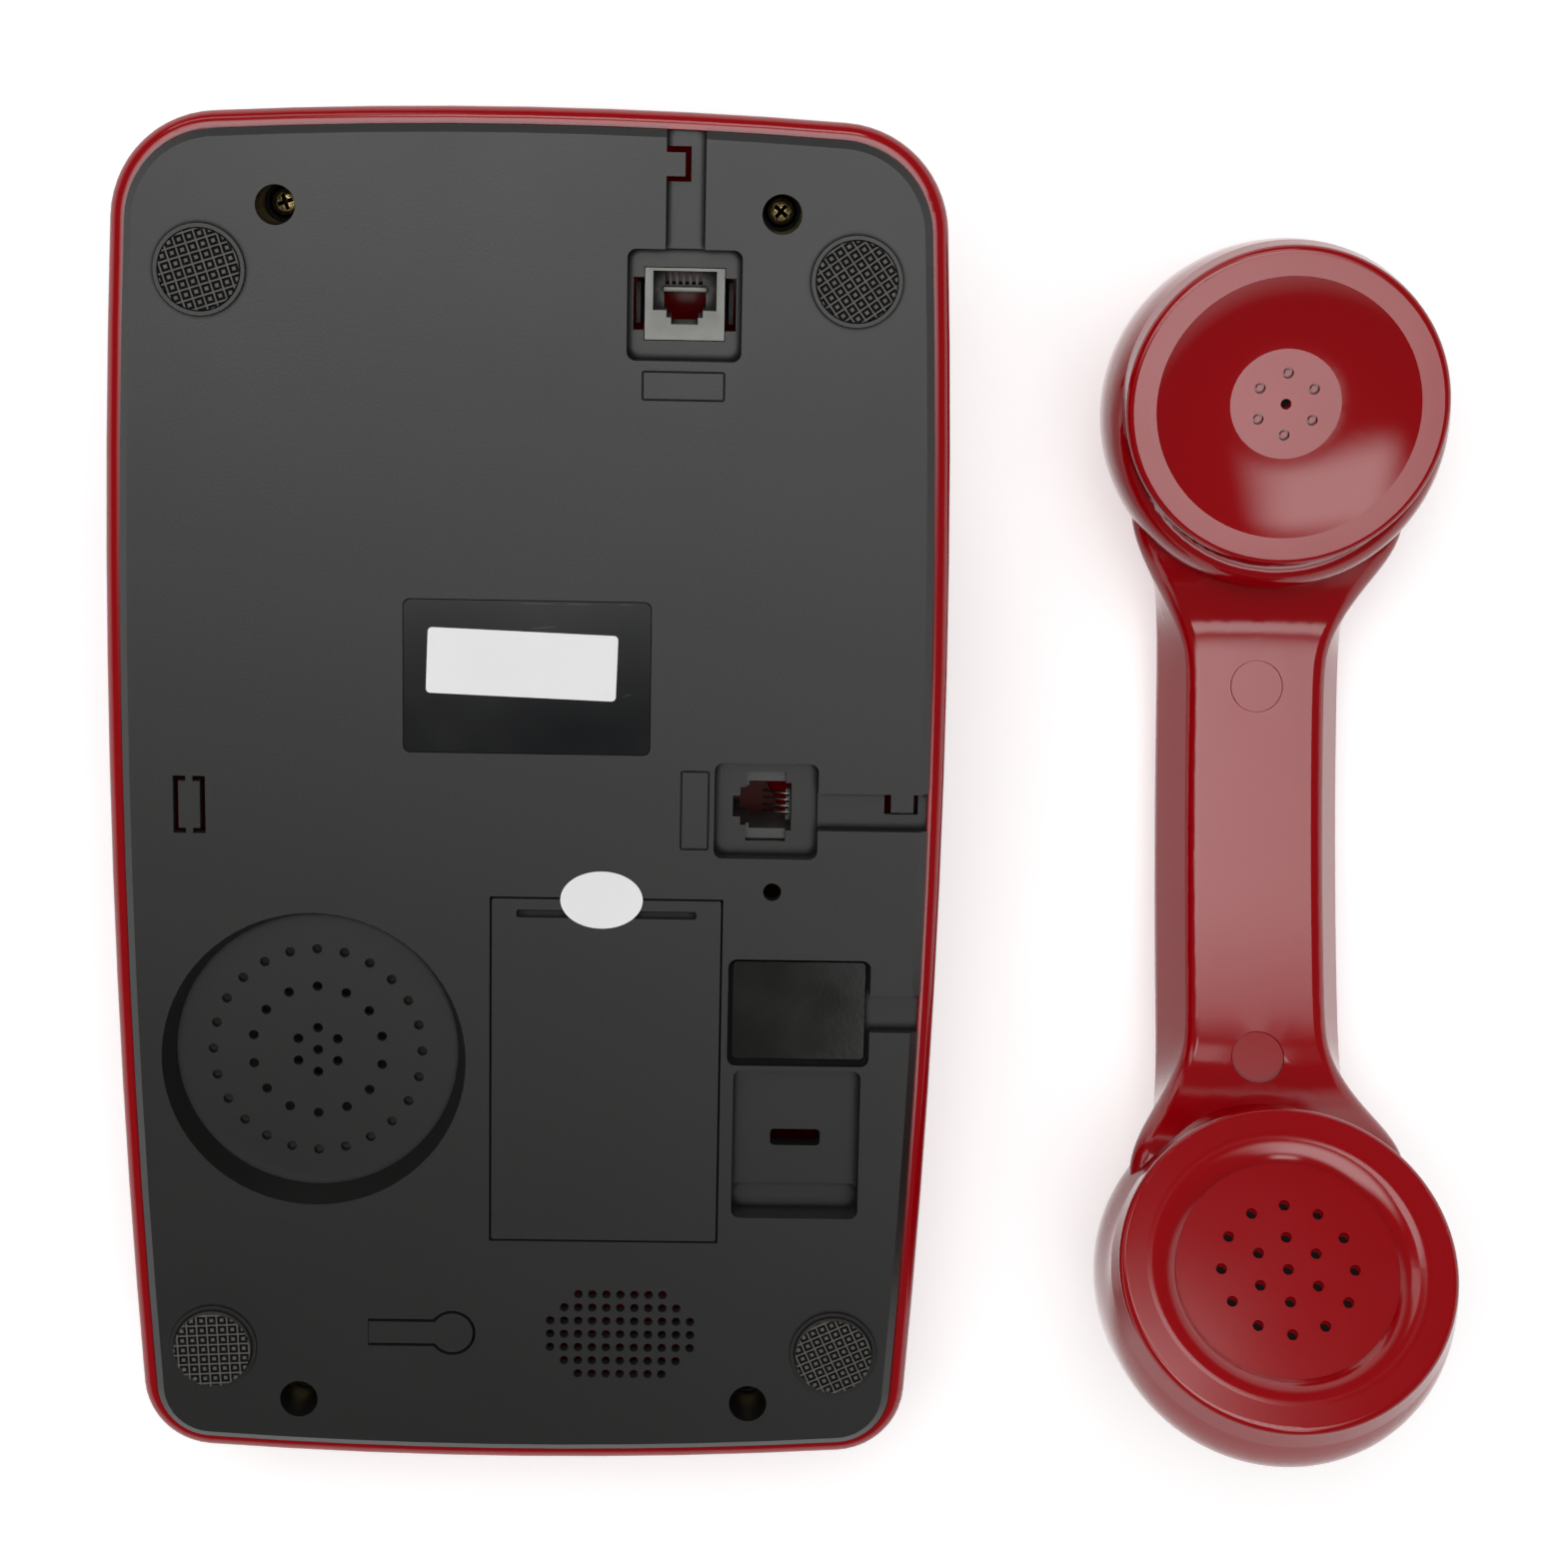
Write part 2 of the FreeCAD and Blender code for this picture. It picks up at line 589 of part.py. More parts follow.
def draw_profile(sketch, points):
    """A closed outline. A point is (x, y), or (x, y, radius) where an arc leads to it."""
    places = [Vector(number(point[0]), number(point[1]), 0) for point in points]
    indices = []
    for step, point in enumerate(points):
        start, end = places[step - 1], places[step]
        if len(point) == 2:
            indices.append(sketch.addGeometry(Part.LineSegment(start, end), False))
            continue
        arc = arc_between(start, end, number(point[2]))
        indices.append(sketch.addGeometry(arc, False))
    for step, point in enumerate(points):
        index = indices[step]
        following = indices[(step + 1) % len(points)]
        geometry, after = sketch.Geometry[index], sketch.Geometry[following]
        here = 2 if geometry.EndPoint.distanceToPoint(places[step]) < ANGLE_TOLERANCE else 1
        there = 1 if after.StartPoint.distanceToPoint(places[step]) < ANGLE_TOLERANCE else 2
        sketch.addConstraint(Sketcher.Constraint("Coincident", index, here, following, there))
        fix(sketch, "DistanceX", -1, 1, index, here, point[0])
        fix(sketch, "DistanceY", -1, 1, index, here, point[1])
        if len(point) == 3:
            size = point[2] if number(point[2]) > 0 else -point[2]
            fix(sketch, "Radius", index, size)


def circles_meet(first, first_radius, second, second_radius, right):
    """Where two circles cross, on the right or the left of the middle line."""
    gap = second - first
    along = (first_radius ** 2 - second_radius ** 2 + gap.Length ** 2) / (2 * gap.Length)
    across = math.sqrt(first_radius ** 2 - along ** 2)
    unit = Vector(gap).normalize()
    foot = first + unit * along
    normal = Vector(-unit.y, unit.x, 0)
    places = [foot + normal * across, foot - normal * across]
    return max(places, key=lambda place: place.x if right else -place.x)


def draw_outline(sketch, inset):
    """The outline of the phone, moved inwards by an inset: four bulging sides and four corners."""
    side_middle = S.side_radius - S.cover_half_width
    end_middle = S.end_radius - S.cover_half_height
    side_size = S.side_radius - inset
    end_size = S.end_radius - inset
    big = [  # middle x, middle y, radius, direction from the middle
        (-side_middle, S.side_centre, side_size, 0.0),
        (Length(0, "0"), -end_middle, end_size, 90.0),
        (side_middle, S.side_centre, side_size, 180.0),
        (Length(0, "0"), end_middle, end_size, 270.0),
    ]
    corners = [S.top_corner_radius, S.top_corner_radius, S.bottom_corner_radius, S.bottom_corner_radius]
    middles = []
    for step, corner in enumerate(corners):
        first, second = big[step], big[(step + 1) % 4]
        first_middle = Vector(first[0].value, first[1].value, 0)
        second_middle = Vector(second[0].value, second[1].value, 0)
        first_reach = first[2].value + inset_value(inset) - corner.value
        second_reach = second[2].value + inset_value(inset) - corner.value
        middle = circles_meet(first_middle, first_reach, second_middle, second_reach, step in (0, 3))
        middles.append(middle)

    def heading(centre, middle):
        return math.atan2(middle.y - centre.y, middle.x - centre.x)

    indices = []
    for step in range(4):
        x, y, size, direction = big[step]
        centre = Vector(x.value, y.value, 0)
        start = heading(centre, middles[step - 1])
        end = heading(centre, middles[step])
        if end < start:
            end += 2 * math.pi
        circle = Part.Circle(centre, Vector(0, 0, 1), size.value)
        indices.append(sketch.addGeometry(Part.ArcOfCircle(circle, start, end), False))
        following = big[(step + 1) % 4]
        after = heading(Vector(following[0].value, following[1].value, 0), middles[step])
        if after < end:
            after += 2 * math.pi
        corner_size = corners[step].value - inset_value(inset)
        corner = Part.Circle(middles[step], Vector(0, 0, 1), corner_size)
        indices.append(sketch.addGeometry(Part.ArcOfCircle(corner, end, after), False))
    for step, index in enumerate(indices):
        following = indices[(step + 1) % 8]
        sketch.addConstraint(Sketcher.Constraint("Tangent", index, 2, following, 1))
    for step in range(4):
        fix(sketch, "Radius", indices[2 * step], big[step][2])
        fix(sketch, "Radius", indices[2 * step + 1], corners[step] - inset)
        fix(sketch, "DistanceX", -1, 1, indices[2 * step], 3, big[step][0])
        fix(sketch, "DistanceY", -1, 1, indices[2 * step], 3, big[step][1])


def inset_value(inset):
    """The plain number of an inset."""
    return number(inset)


def pad(body, sketch, length):
    """Thicken a sketch along its normal."""
    feature = body.newObject("PartDesign::Pad", "Pad")
    feature.Profile = sketch
    feature.Length = number(length)
    bind(feature, "Length", length)
    body.Tip = feature
    return feature


def dress(body, kind, name, prop, size, wanted):
    """Bevel or round the edges of a body that a test picks."""
    base = body.Tip
    doc.recompute()
    edges = [f"Edge{index}" for index, edge in enumerate(base.Shape.Edges, start=1) if wanted(edge)]
    feature = body.newObject(kind, name)
    feature.Base = (base, edges)
    setattr(feature, prop, number(size))
    bind(feature, prop, size)
    body.Tip = feature
    return feature


def outline_pad(name, inset, low, high):
    """A prism of the phone's outline between two heights."""
    body = new_body(name)
    sketch = new_sketch(body, height=low)
    draw_outline(sketch, inset)
    pad(body, sketch, high - low)
    return body


def turned(name, points):
    """A round piece turned about its own Z axis from a profile of radius and height."""
    body = new_body(name)
    sketch = new_sketch(body, "XZ_Plane")
    draw_profile(sketch, points)
    feature = body.newObject("PartDesign::Revolution", "Turning")
    feature.Profile = sketch
    feature.ReferenceAxis = (sketch, ["V_Axis"])
    feature.Angle = 360.0
    body.Tip = feature
    return body


def keep(item, label, group):
    """Note a finished piece: its label and the group that it lies in."""
    if item.TypeId not in ("PartDesign::Body", "Part::Compound"):
        item = gather([item])
    item.Label = label
    nodes.append((item, label, group))
    return item


def upper_and_lower(upper_x, upper_y, lower_x, lower_y):
    """Four places, mirrored left and right: the two upper ones first."""
    return [(-upper_x, upper_y), (upper_x, upper_y), (-lower_x, lower_y), (lower_x, lower_y)]


SCREW_PLACES = upper_and_lower(S.upper_bore_x, S.upper_bore_y, S.lower_bore_x, S.lower_bore_y)
FOOT_PLACES = upper_and_lower(S.upper_foot_x, S.upper_foot_y, S.lower_foot_x, S.lower_foot_y)
FRONT_FRAME = Placement(Vector(0, 0, -S.front_depth.value), Rotation(Vector(1, 0, 0), S.front_slope.value))
CORD_TURN = Rotation(Vector(0, 0, 1), -90)
ZERO = Length(0, "0")
RIGHT_EDGE = S.cover_half_width + S.rim_width
TOP_EDGE = S.cover_half_height + S.rim_width


def recess_list():
    """Each recess of the back: middle, width and height of its mouth, and its depth."""
    return {
        "line": (S.line_x, S.line_y, S.line_width, S.line_height, S.recess_depth),
        "cord": (S.cord_x, S.cord_y, S.cord_width, S.cord_height, S.recess_depth),
        "blank": (S.blank_x, S.blank_y, S.blank_width, S.blank_height, S.channel_depth),
        "adapter": (S.adapter_x, S.adapter_y, S.adapter_width, S.adapter_height, S.adapter_step),
    }


def make_back_cover():
    """The dark cover plate with its skirt, wells, bosses and openings."""
    top = ZERO
    plate = outline_pad("cover_block", ZERO, -S.skirt_depth, top)
    dress(plate, "PartDesign::Chamfer", "Bevel", "Size", S.cover_bevel,
          lambda edge: edge.BoundBox.ZMin > -ANGLE_TOLERANCE)
    hollow = outline_pad("cover_hollow", S.skirt_wall, -S.skirt_depth - OVERSHOOT, -S.cover_wall)
    tray = cut(plate, [hollow])

    root = -S.cover_wall / 2
    wall = S.well_wall
    wells = []
    for x, y, width, height, depth in recess_list().values():
        wells.append(block(centred(x, width + 2 * wall), centred(y, height + 2 * wall),
                           (-depth - wall, root)))
    channel_low = -S.channel_depth - wall
    across = S.channel_width + 2 * wall
    wells.append(block(centred(S.line_x, across), (S.line_y, TOP_EDGE), (channel_low, root)))
    wells.append(block((S.cord_x, RIGHT_EDGE), centred(S.cord_y, across), (channel_low, root)))
    wells.append(block((S.blank_x, RIGHT_EDGE), centred(S.blank_y, across), (channel_low, root)))
    door_height = S.door_top - S.door_bottom
    door_y = (S.door_top + S.door_bottom) / 2
    wells.append(block(centred(S.door_x, S.door_width + 2 * S.door_gap + 2 * wall),
                       centred(door_y, door_height + 2 * S.door_gap + 2 * wall),
                       (-S.well_depth - wall, root)))
    wells.append(rod(S.round_x, S.round_y, (-S.round_depth - wall, root), S.round_radius + wall))
    trim = outline_pad("well_trim", S.skirt_wall / 2, -S.well_depth - 2 * wall, root + OVERSHOOT / 2)
    under = common(trim, fuse(wells))

    extras = []
    for x, y in SCREW_PLACES:
        extras.append(rod(x, y, (-S.bore_depth - 2.0 * S.thread_gap - wall, root),
                          S.bore_radius + S.boss_wall))
    inside = S.post_edge
    for x in (S.board_left + inside, S.board_right - inside):
        for y in (S.board_low + inside, S.board_high - inside):
            extras.append(rod(x, y, (-S.board_depth, root), S.post_radius))
    ring_radius = S.speaker_radius + S.fit_gap
    ring = (-S.round_depth - 2 * wall - S.fit_gap, -S.round_depth)
    extras.append(cut(rod(S.round_x, S.round_y, ring, ring_radius + wall),
                      [rod(S.round_x, S.round_y, (ring[0] - OVERSHOOT, -S.round_depth - wall),
                           ring_radius)]))
    for x, y in FOOT_PLACES:
        extras.append(rod(x, y, (root, S.foot_ring_height), S.foot_radius + S.fit_gap + S.foot_ring_width))
    switch_x = switch_middle()
    for offset in (-S.tongue_pad, S.tongue_pad):
        extras.append(rod(switch_x + offset * 2, S.tongue_y, (-switch_board_depth(), root),
                          S.post_radius / 2))

    solid = fuse([tray, under] + extras)
    tools = cover_openings()
    cover = cut(solid, tools)
    tabs = [
        block((S.line_x - S.channel_width / 2 - OVERSHOOT, S.line_x - S.channel_width / 2 + S.tab_reach),
              centred(S.line_tab_y, S.tab_width), (-S.tab_thickness, ZERO)),
        block(centred(S.cord_tab_x, S.tab_width),
              (S.cord_y + S.channel_width / 2 - S.tab_reach, S.cord_y + S.channel_width / 2 + OVERSHOOT),
              (-S.tab_thickness, ZERO)),
    ]
    keep(fuse([cover] + tabs), "back_cover", "base")


def switch_middle():
    """Middle of the switch under the press tongue, from the middle line."""
    return S.tongue_tip


def switch_board_depth():
    """Board of the switch under the press tongue, below the back face."""
    return S.well_depth / 2


def socket_opening(opening, span):
    """The stepped mouth of a socket, centred on the origin with its latch step downwards."""
    top = (S.opening_height + S.latch_height) / 2
    low = top - S.opening_height
    return [
        block(centred(ZERO, opening), (low, top), span),
        block(centred(ZERO, S.latch_width), (low - S.latch_height, top), span),
        block(centred(ZERO, S.notch_width), (low - S.latch_height - S.notch_height, top), span),
    ]


def socket_notches(x, y, width, along_x):
    """Openings in a recess floor for the snap arms beside a socket."""
    reach = width / 2 + S.arm_slot
    low = -S.recess_depth - S.well_wall - OVERSHOOT
    span = (low, -S.recess_depth + OVERSHOOT / 2)
    if along_x:
        return block((x - reach, x + reach), centred(y, S.snap_height + S.arm_slot), span)
    return block(centred(x, S.snap_height), (y - reach, y + reach), span)


def engraved_frame(x, y, width, height):
    """An engraved line round a small field."""
    depth = (-S.engraving, ZERO + OVERSHOOT)
    outer = rounded_block(centred(x, width), centred(y, height), depth, S.engraving * 2)
    inner = block(centred(x, width - 2 * S.frame_line), centred(y, height - 2 * S.frame_line),
                  (-S.engraving - OVERSHOOT, ZERO + 2 * OVERSHOOT))
    return cut(outer, [inner])


def ring_places(x, y, radius, count, start=90.0):
    """Places evenly spaced round a circle."""
    places = []
    for step in range(count):
        angle = math.radians(start + 360.0 * step / count)
        places.append((x + radius * math.cos(angle), y + radius * math.sin(angle)))
    return places


def sound_hole_places():
    """Places of the sound holes in the round recess."""
    places = [(S.round_x, S.round_y)]
    places += ring_places(S.round_x, S.round_y, S.outer_ring, OUTER_HOLES)
    places += ring_places(S.round_x, S.round_y, S.middle_ring, MIDDLE_HOLES)
    places += ring_places(S.round_x, S.round_y, S.inner_ring, INNER_HOLES)
    return places


def grille_places():
    """Places of the holes in the sound grille, row by row."""
    places = []
    for row, count in enumerate(GRILLE_ROWS):
        rise = (len(GRILLE_ROWS) - 1) / 2 - row
        for step in range(count):
            shift = step - (count - 1) / 2
            places.append((S.grille_x + shift * S.grille_pitch, S.grille_y + rise * S.grille_pitch))
    return places


def cover_openings():
    """Everything that is taken away from the back cover."""
    above = ZERO + OVERSHOOT
    tools = []
    for name, (x, y, width, height, depth) in recess_list().items():
        if name != "adapter":
            tools.append(rounded_block(centred(x, width), centred(y, height), (-depth, above),
                                       S.recess_round))
    tools.append(rounded_block(centred(S.adapter_x, S.adapter_width), centred(S.adapter_y, S.adapter_height),
                               (-S.adapter_depth, above), S.recess_round))
    adapter_low = S.adapter_y - S.adapter_height / 2
    tools.append(rounded_block(centred(S.adapter_x, S.adapter_width),
                               (adapter_low, adapter_low + S.adapter_step_height),
                               (-S.adapter_step, above), S.recess_round))
    channel = (-S.channel_depth, above)
    beyond = 2 * S.rim_width
    tools.append(block(centred(S.line_x, S.channel_width), (S.line_y, TOP_EDGE + beyond), channel))
    tools.append(block((S.cord_x, RIGHT_EDGE + beyond), centred(S.cord_y, S.channel_width), channel))
    tools.append(block((S.blank_x, RIGHT_EDGE + beyond), centred(S.blank_y, S.channel_width), channel))
    through = (-S.channel_depth - 2 * S.well_wall, -S.tab_thickness)
    slot_height = S.tab_width + 2 * S.tab_slot
    line_left = S.line_x - S.channel_width / 2
    tools.append(block((line_left, line_left + S.tab_reach + S.tab_slot),
                       centred(S.line_tab_y, slot_height), through))
    cord_high = S.cord_y + S.channel_width / 2
    tools.append(block(centred(S.cord_tab_x, slot_height),
                       (cord_high - S.tab_reach - S.tab_slot, cord_high), through))
    hole = (-S.recess_depth - 2 * S.well_wall, above)
    play = 2 * S.fit_gap
    tools.append(block(centred(S.line_x, S.line_socket_width + play),
                       centred(S.line_y, S.line_socket_height + play), hole))
    cord_mouth = fuse(socket_opening(S.cord_opening, hole))
    tools.append(moved(cord_mouth, Placement(Vector(S.cord_x.value, S.cord_y.value, 0), CORD_TURN)))
    tools.append(socket_notches(S.line_x, S.line_y, S.line_socket_width, True))
    tools.append(socket_notches(S.cord_x, S.cord_y, S.cord_opening, False))
    slot = (-S.adapter_step - 2 * S.well_wall, ZERO)
    tools.append(rounded_block(centred(S.adapter_x, S.plug_slot_width),
                               centred(S.plug_slot_y, S.plug_slot_height), slot, S.recess_round / 2))
    tools.append(rod(S.reset_hole_x, S.reset_hole_y, (-S.well_depth, above), S.reset_hole_radius))
    tools.append(rounded_block(centred(ZERO, S.film_width), centred(S.film_y, S.film_height),
                               (-S.film_thickness, above), S.film_round))

    door_y = (S.door_top + S.door_bottom) / 2
    door_height = S.door_top - S.door_bottom
    tools.append(block(centred(S.door_x, S.door_width + 2 * S.door_gap),
                       centred(door_y, door_height + 2 * S.door_gap),
                       (-S.door_thickness - S.door_seat, above)))
    tools.append(block(centred(S.door_x, S.door_width - 2 * S.door_ledge),
                       centred(door_y, door_height - 2 * S.door_ledge), (-S.well_depth, above)))
    for x, y in SCREW_PLACES:
        tools.append(rod(x, y, (S.seat_depth - S.bore_depth, above), S.bore_radius))
        tools.append(rod(x, y, (-S.bore_depth, above), S.seat_radius))
        tools.append(rod(x, y, (-S.bore_depth - 3 * S.well_wall, above), S.screw_radius + S.thread_gap))
    for x, y in FOOT_PLACES:
        tools.append(rod(x, y, (-S.foot_seat, above), S.foot_radius + S.fit_gap))
    tools.append(frustum(S.round_x, S.round_y, (-S.round_depth, ZERO), S.round_floor_radius, S.round_radius))
    through = (-S.round_depth - 2 * S.well_wall, ZERO)
    tools += [rod(x, y, through, S.sound_hole) for x, y in sound_hole_places()]
    through = (-S.cover_wall - OVERSHOOT, above)
    tools += [rod(x, y, through, S.grille_hole) for x, y in grille_places()]
    slit = S.tongue_slit
    tools.append(block((S.tongue_root, S.tongue_tip), centred(S.tongue_y, S.tongue_width + 2 * slit),
                       through))
    tools.append(rod(S.tongue_tip, S.tongue_y, through, S.tongue_pad + slit))
    outer = block(centred(S.knockout_x, S.knockout_width), centred(S.knockout_y, S.knockout_height), through)
    through = (-S.cover_wall - 2 * OVERSHOOT, ZERO + 2 * OVERSHOOT)
    inner = block(centred(S.knockout_x, S.knockout_width - 2 * S.knockout_slit),
                  centred(S.knockout_y, S.knockout_height - 2 * S.knockout_slit), through)
    bridge = block(centred(S.knockout_x, S.knockout_bridge),
                   centred(S.knockout_y, S.knockout_height + OVERSHOOT),
                   through)
    tools.append(cut(outer, [inner, bridge]))
    tools.append(engraved_frame(S.line_x, S.line_frame_y, S.frame_long, S.frame_short))
    tools.append(engraved_frame(S.cord_frame_x, S.cord_y, S.frame_short, S.frame_long))
    return tools


def shell_loft(name, side_inset, side_low, front_inset, lift):
    """The tapering part of the front shell, from the band down to the sloping front face."""
    body = new_body(name)
    upper = new_sketch(body, height=side_low)
    draw_outline(upper, side_inset)
    slope = Rotation(Vector(1, 0, 0), S.front_slope.value)
    lower = new_sketch(body, offset=Placement(Vector(), slope), height=lift - S.front_depth)
    draw_outline(lower, front_inset)
    loft = body.newObject("PartDesign::AdditiveLoft", "Taper")
    loft.Profile = upper
    loft.Sections = [lower]
    loft.Ruled = True
    body.Tip = loft
    return body


def make_front_shell():
    """The red shell: rim, band, tapering sides, sloping front, cradle arms and screw posts."""
    band = outline_pad("shell_band", -S.rim_width, -S.band_depth, -S.rim_drop)
    dress(band, "PartDesign::Fillet", "RimRound", "Radius", S.rim_round,
          lambda edge: edge.BoundBox.ZMin > -S.rim_drop.value - ANGLE_TOLERANCE)
    taper = shell_loft("shell_taper", -S.rim_width, -S.band_depth, S.front_inset, ZERO)
    dress(taper, "PartDesign::Fillet", "FrontRound", "Radius", S.front_round, lies_on_front)

    arms = gather([cradle_arm(-1.0), cradle_arm(1.0)])
    outside = fuse([band, taper])
    mouth = outline_pad("shell_mouth", -S.fit_gap, -S.skirt_depth - S.fit_gap, ZERO)
    ledge = S.skirt_wall / 2
    neck = outline_pad("shell_neck", ledge, -S.band_depth, ZERO)
    hollow = shell_loft("shell_hollow", ledge, -S.band_depth, S.front_inset + S.shell_wall, S.shell_wall)
    posts = [rod(x, y, (-S.front_depth * 2, -S.bore_depth - 3 * S.thread_gap - S.well_wall),
                 S.screw_radius + S.boss_wall) for x, y in SCREW_PLACES]
    bracket_y = centred(S.pivot_y, 2 * S.hub_radius)
    for side in (-1.0, 1.0):
        near = side * (S.lever_width / 2 + S.lever_gap)
        far = side * (S.lever_width / 2 + S.lever_gap + S.bracket_width)
        x = (far, near) if side < 0 else (near, far)
        posts.append(block(x, bracket_y, (-S.front_depth * 2, -S.pivot_depth + S.hub_radius)))
    posts.append(block(centred(ZERO, S.lever_width), centred(switch_y(), S.lever_thickness * 2),
                       (-S.front_depth * 2, -switch_depth())))
    for x, y in dial_post_places():
        posts.append(moved(rod(x, y, (ZERO, key_board_level()), S.post_radius), FRONT_FRAME))
    inner = common(outside, gather_fused(posts))
    empty = cut(outside, [mouth, neck, hollow])
    solid = fuse([empty, inner, arms])
    pilot = (-S.bore_depth - S.screw_length, -S.bore_depth + OVERSHOOT)
    tools = [rod(x, y, pilot, S.screw_radius + S.thread_gap) for x, y in SCREW_PLACES]
    reach = S.lever_width / 2 + S.lever_gap + S.bracket_width + OVERSHOOT
    tools.append(cross_rod((-reach, reach), S.pivot_y, -S.pivot_depth, S.pin_radius + S.fit_gap))
    top = S.arm_shelf + S.lever_rise + S.lever_gap
    fall = S.lever_reach * math.tan(math.radians(S.hook_swing.value)) / 2
    bottom = S.arm_shelf + S.lever_rise - S.lever_thickness - S.lever_gap - fall
    tools.append(block(centred(ZERO, S.lever_width + 2 * S.lever_gap), (bottom, top),
                       (-S.arm_reach, -S.pivot_depth - 2 * S.hub_radius)))
    tools.append(moved(gather_fused(dial_openings()), FRONT_FRAME))
    keep(cut(solid, tools), "front_shell", "base")
    return taper, arms


def gather_fused(items):
    """Several solids as one object, fused where they overlap."""
    return items[0] if len(items) == 1 else fuse(items)


def lies_on_front(edge):
    """Whether an edge lies in the sloping front face."""
    inverse = FRONT_FRAME.inverse()
    return all(abs(inverse.multVec(vertex.Point).z) < 1e-4 for vertex in edge.Vertexes)


def cradle_arm(side):
    """One arm of the cradle: a shelf out of the front face with a lip at its tip."""
    near = S.arm_gap / 2
    far = S.arm_gap / 2 + S.arm_width
    x = (near, far) if side > 0 else (-far, -near)
    root = -S.front_depth + 5.0 * S.shell_wall / 2
    shelf = block(x, (S.arm_shelf, S.arm_shelf + S.arm_thickness), (-S.arm_reach, root))
    lip = block(x, (S.arm_shelf, S.arm_shelf + S.arm_thickness + S.lip_height),
                (-S.arm_reach, -S.arm_reach + S.lip_thickness))
    arm = fuse([shelf, lip])
    outer = -S.front_depth.value - OVERSHOOT

    def on_tip(edge):
        return edge.BoundBox.ZMax < outer + S.lip_thickness.value

    return round_edges(arm, S.arm_round, on_tip)


def switch_y():
    """Middle of the hook switch above the middle."""
    return S.pivot_y - S.hub_radius * 2 - S.lever_thickness


def switch_depth():
    """Underside of the hook switch below the back face."""
    return S.pivot_depth + 2 * S.hub_radius + S.lever_thickness


def mat_level():
    """Back of the key mat in the front frame, seen from the keys."""
    return S.shell_wall + S.flange_gap + S.flange_thickness + S.key_travel + S.mat_gap


def key_board_level():
    """Face of the key board in the front frame."""
    return mat_level() + S.mat_thickness + S.flange_gap


def dial_post_places():
    """Posts that carry the key board, in the front frame."""
    reach = (S.mat_radius + S.key_board_radius) / 2
    places = ring_places(ZERO, S.dial_y, reach, 4, 45.0)
    return places


def key_places():
    """Places of the twelve dial keys in the front frame, clockwise from the upper right."""
    places = []
    for step in range(len(KEY_NAMES)):
        angle = math.radians(60.0 - 30.0 * step)
        places.append((S.key_ring * math.cos(angle), S.dial_y + S.key_ring * math.sin(angle)))
    return places


def dial_openings():
    """Everything that is taken away from the front wall for the dial and its keys."""
    seat = rod(ZERO, S.dial_y, (ZERO - OVERSHOOT, S.dial_thickness), S.dial_radius + S.fit_gap)
    tools = [seat]
    through = (ZERO - OVERSHOOT, S.shell_wall + OVERSHOOT)
    for x, y in key_places():
        tools.append(rod(x, y, through, S.key_radius + S.key_gap))
    for side in (-1.0, 1.0):
        tools.append(block(centred(side * S.function_key_x, S.function_key_width + 2 * S.key_gap),
                           centred(S.function_key_y, S.function_key_height + 2 * S.key_gap), through))
    return tools


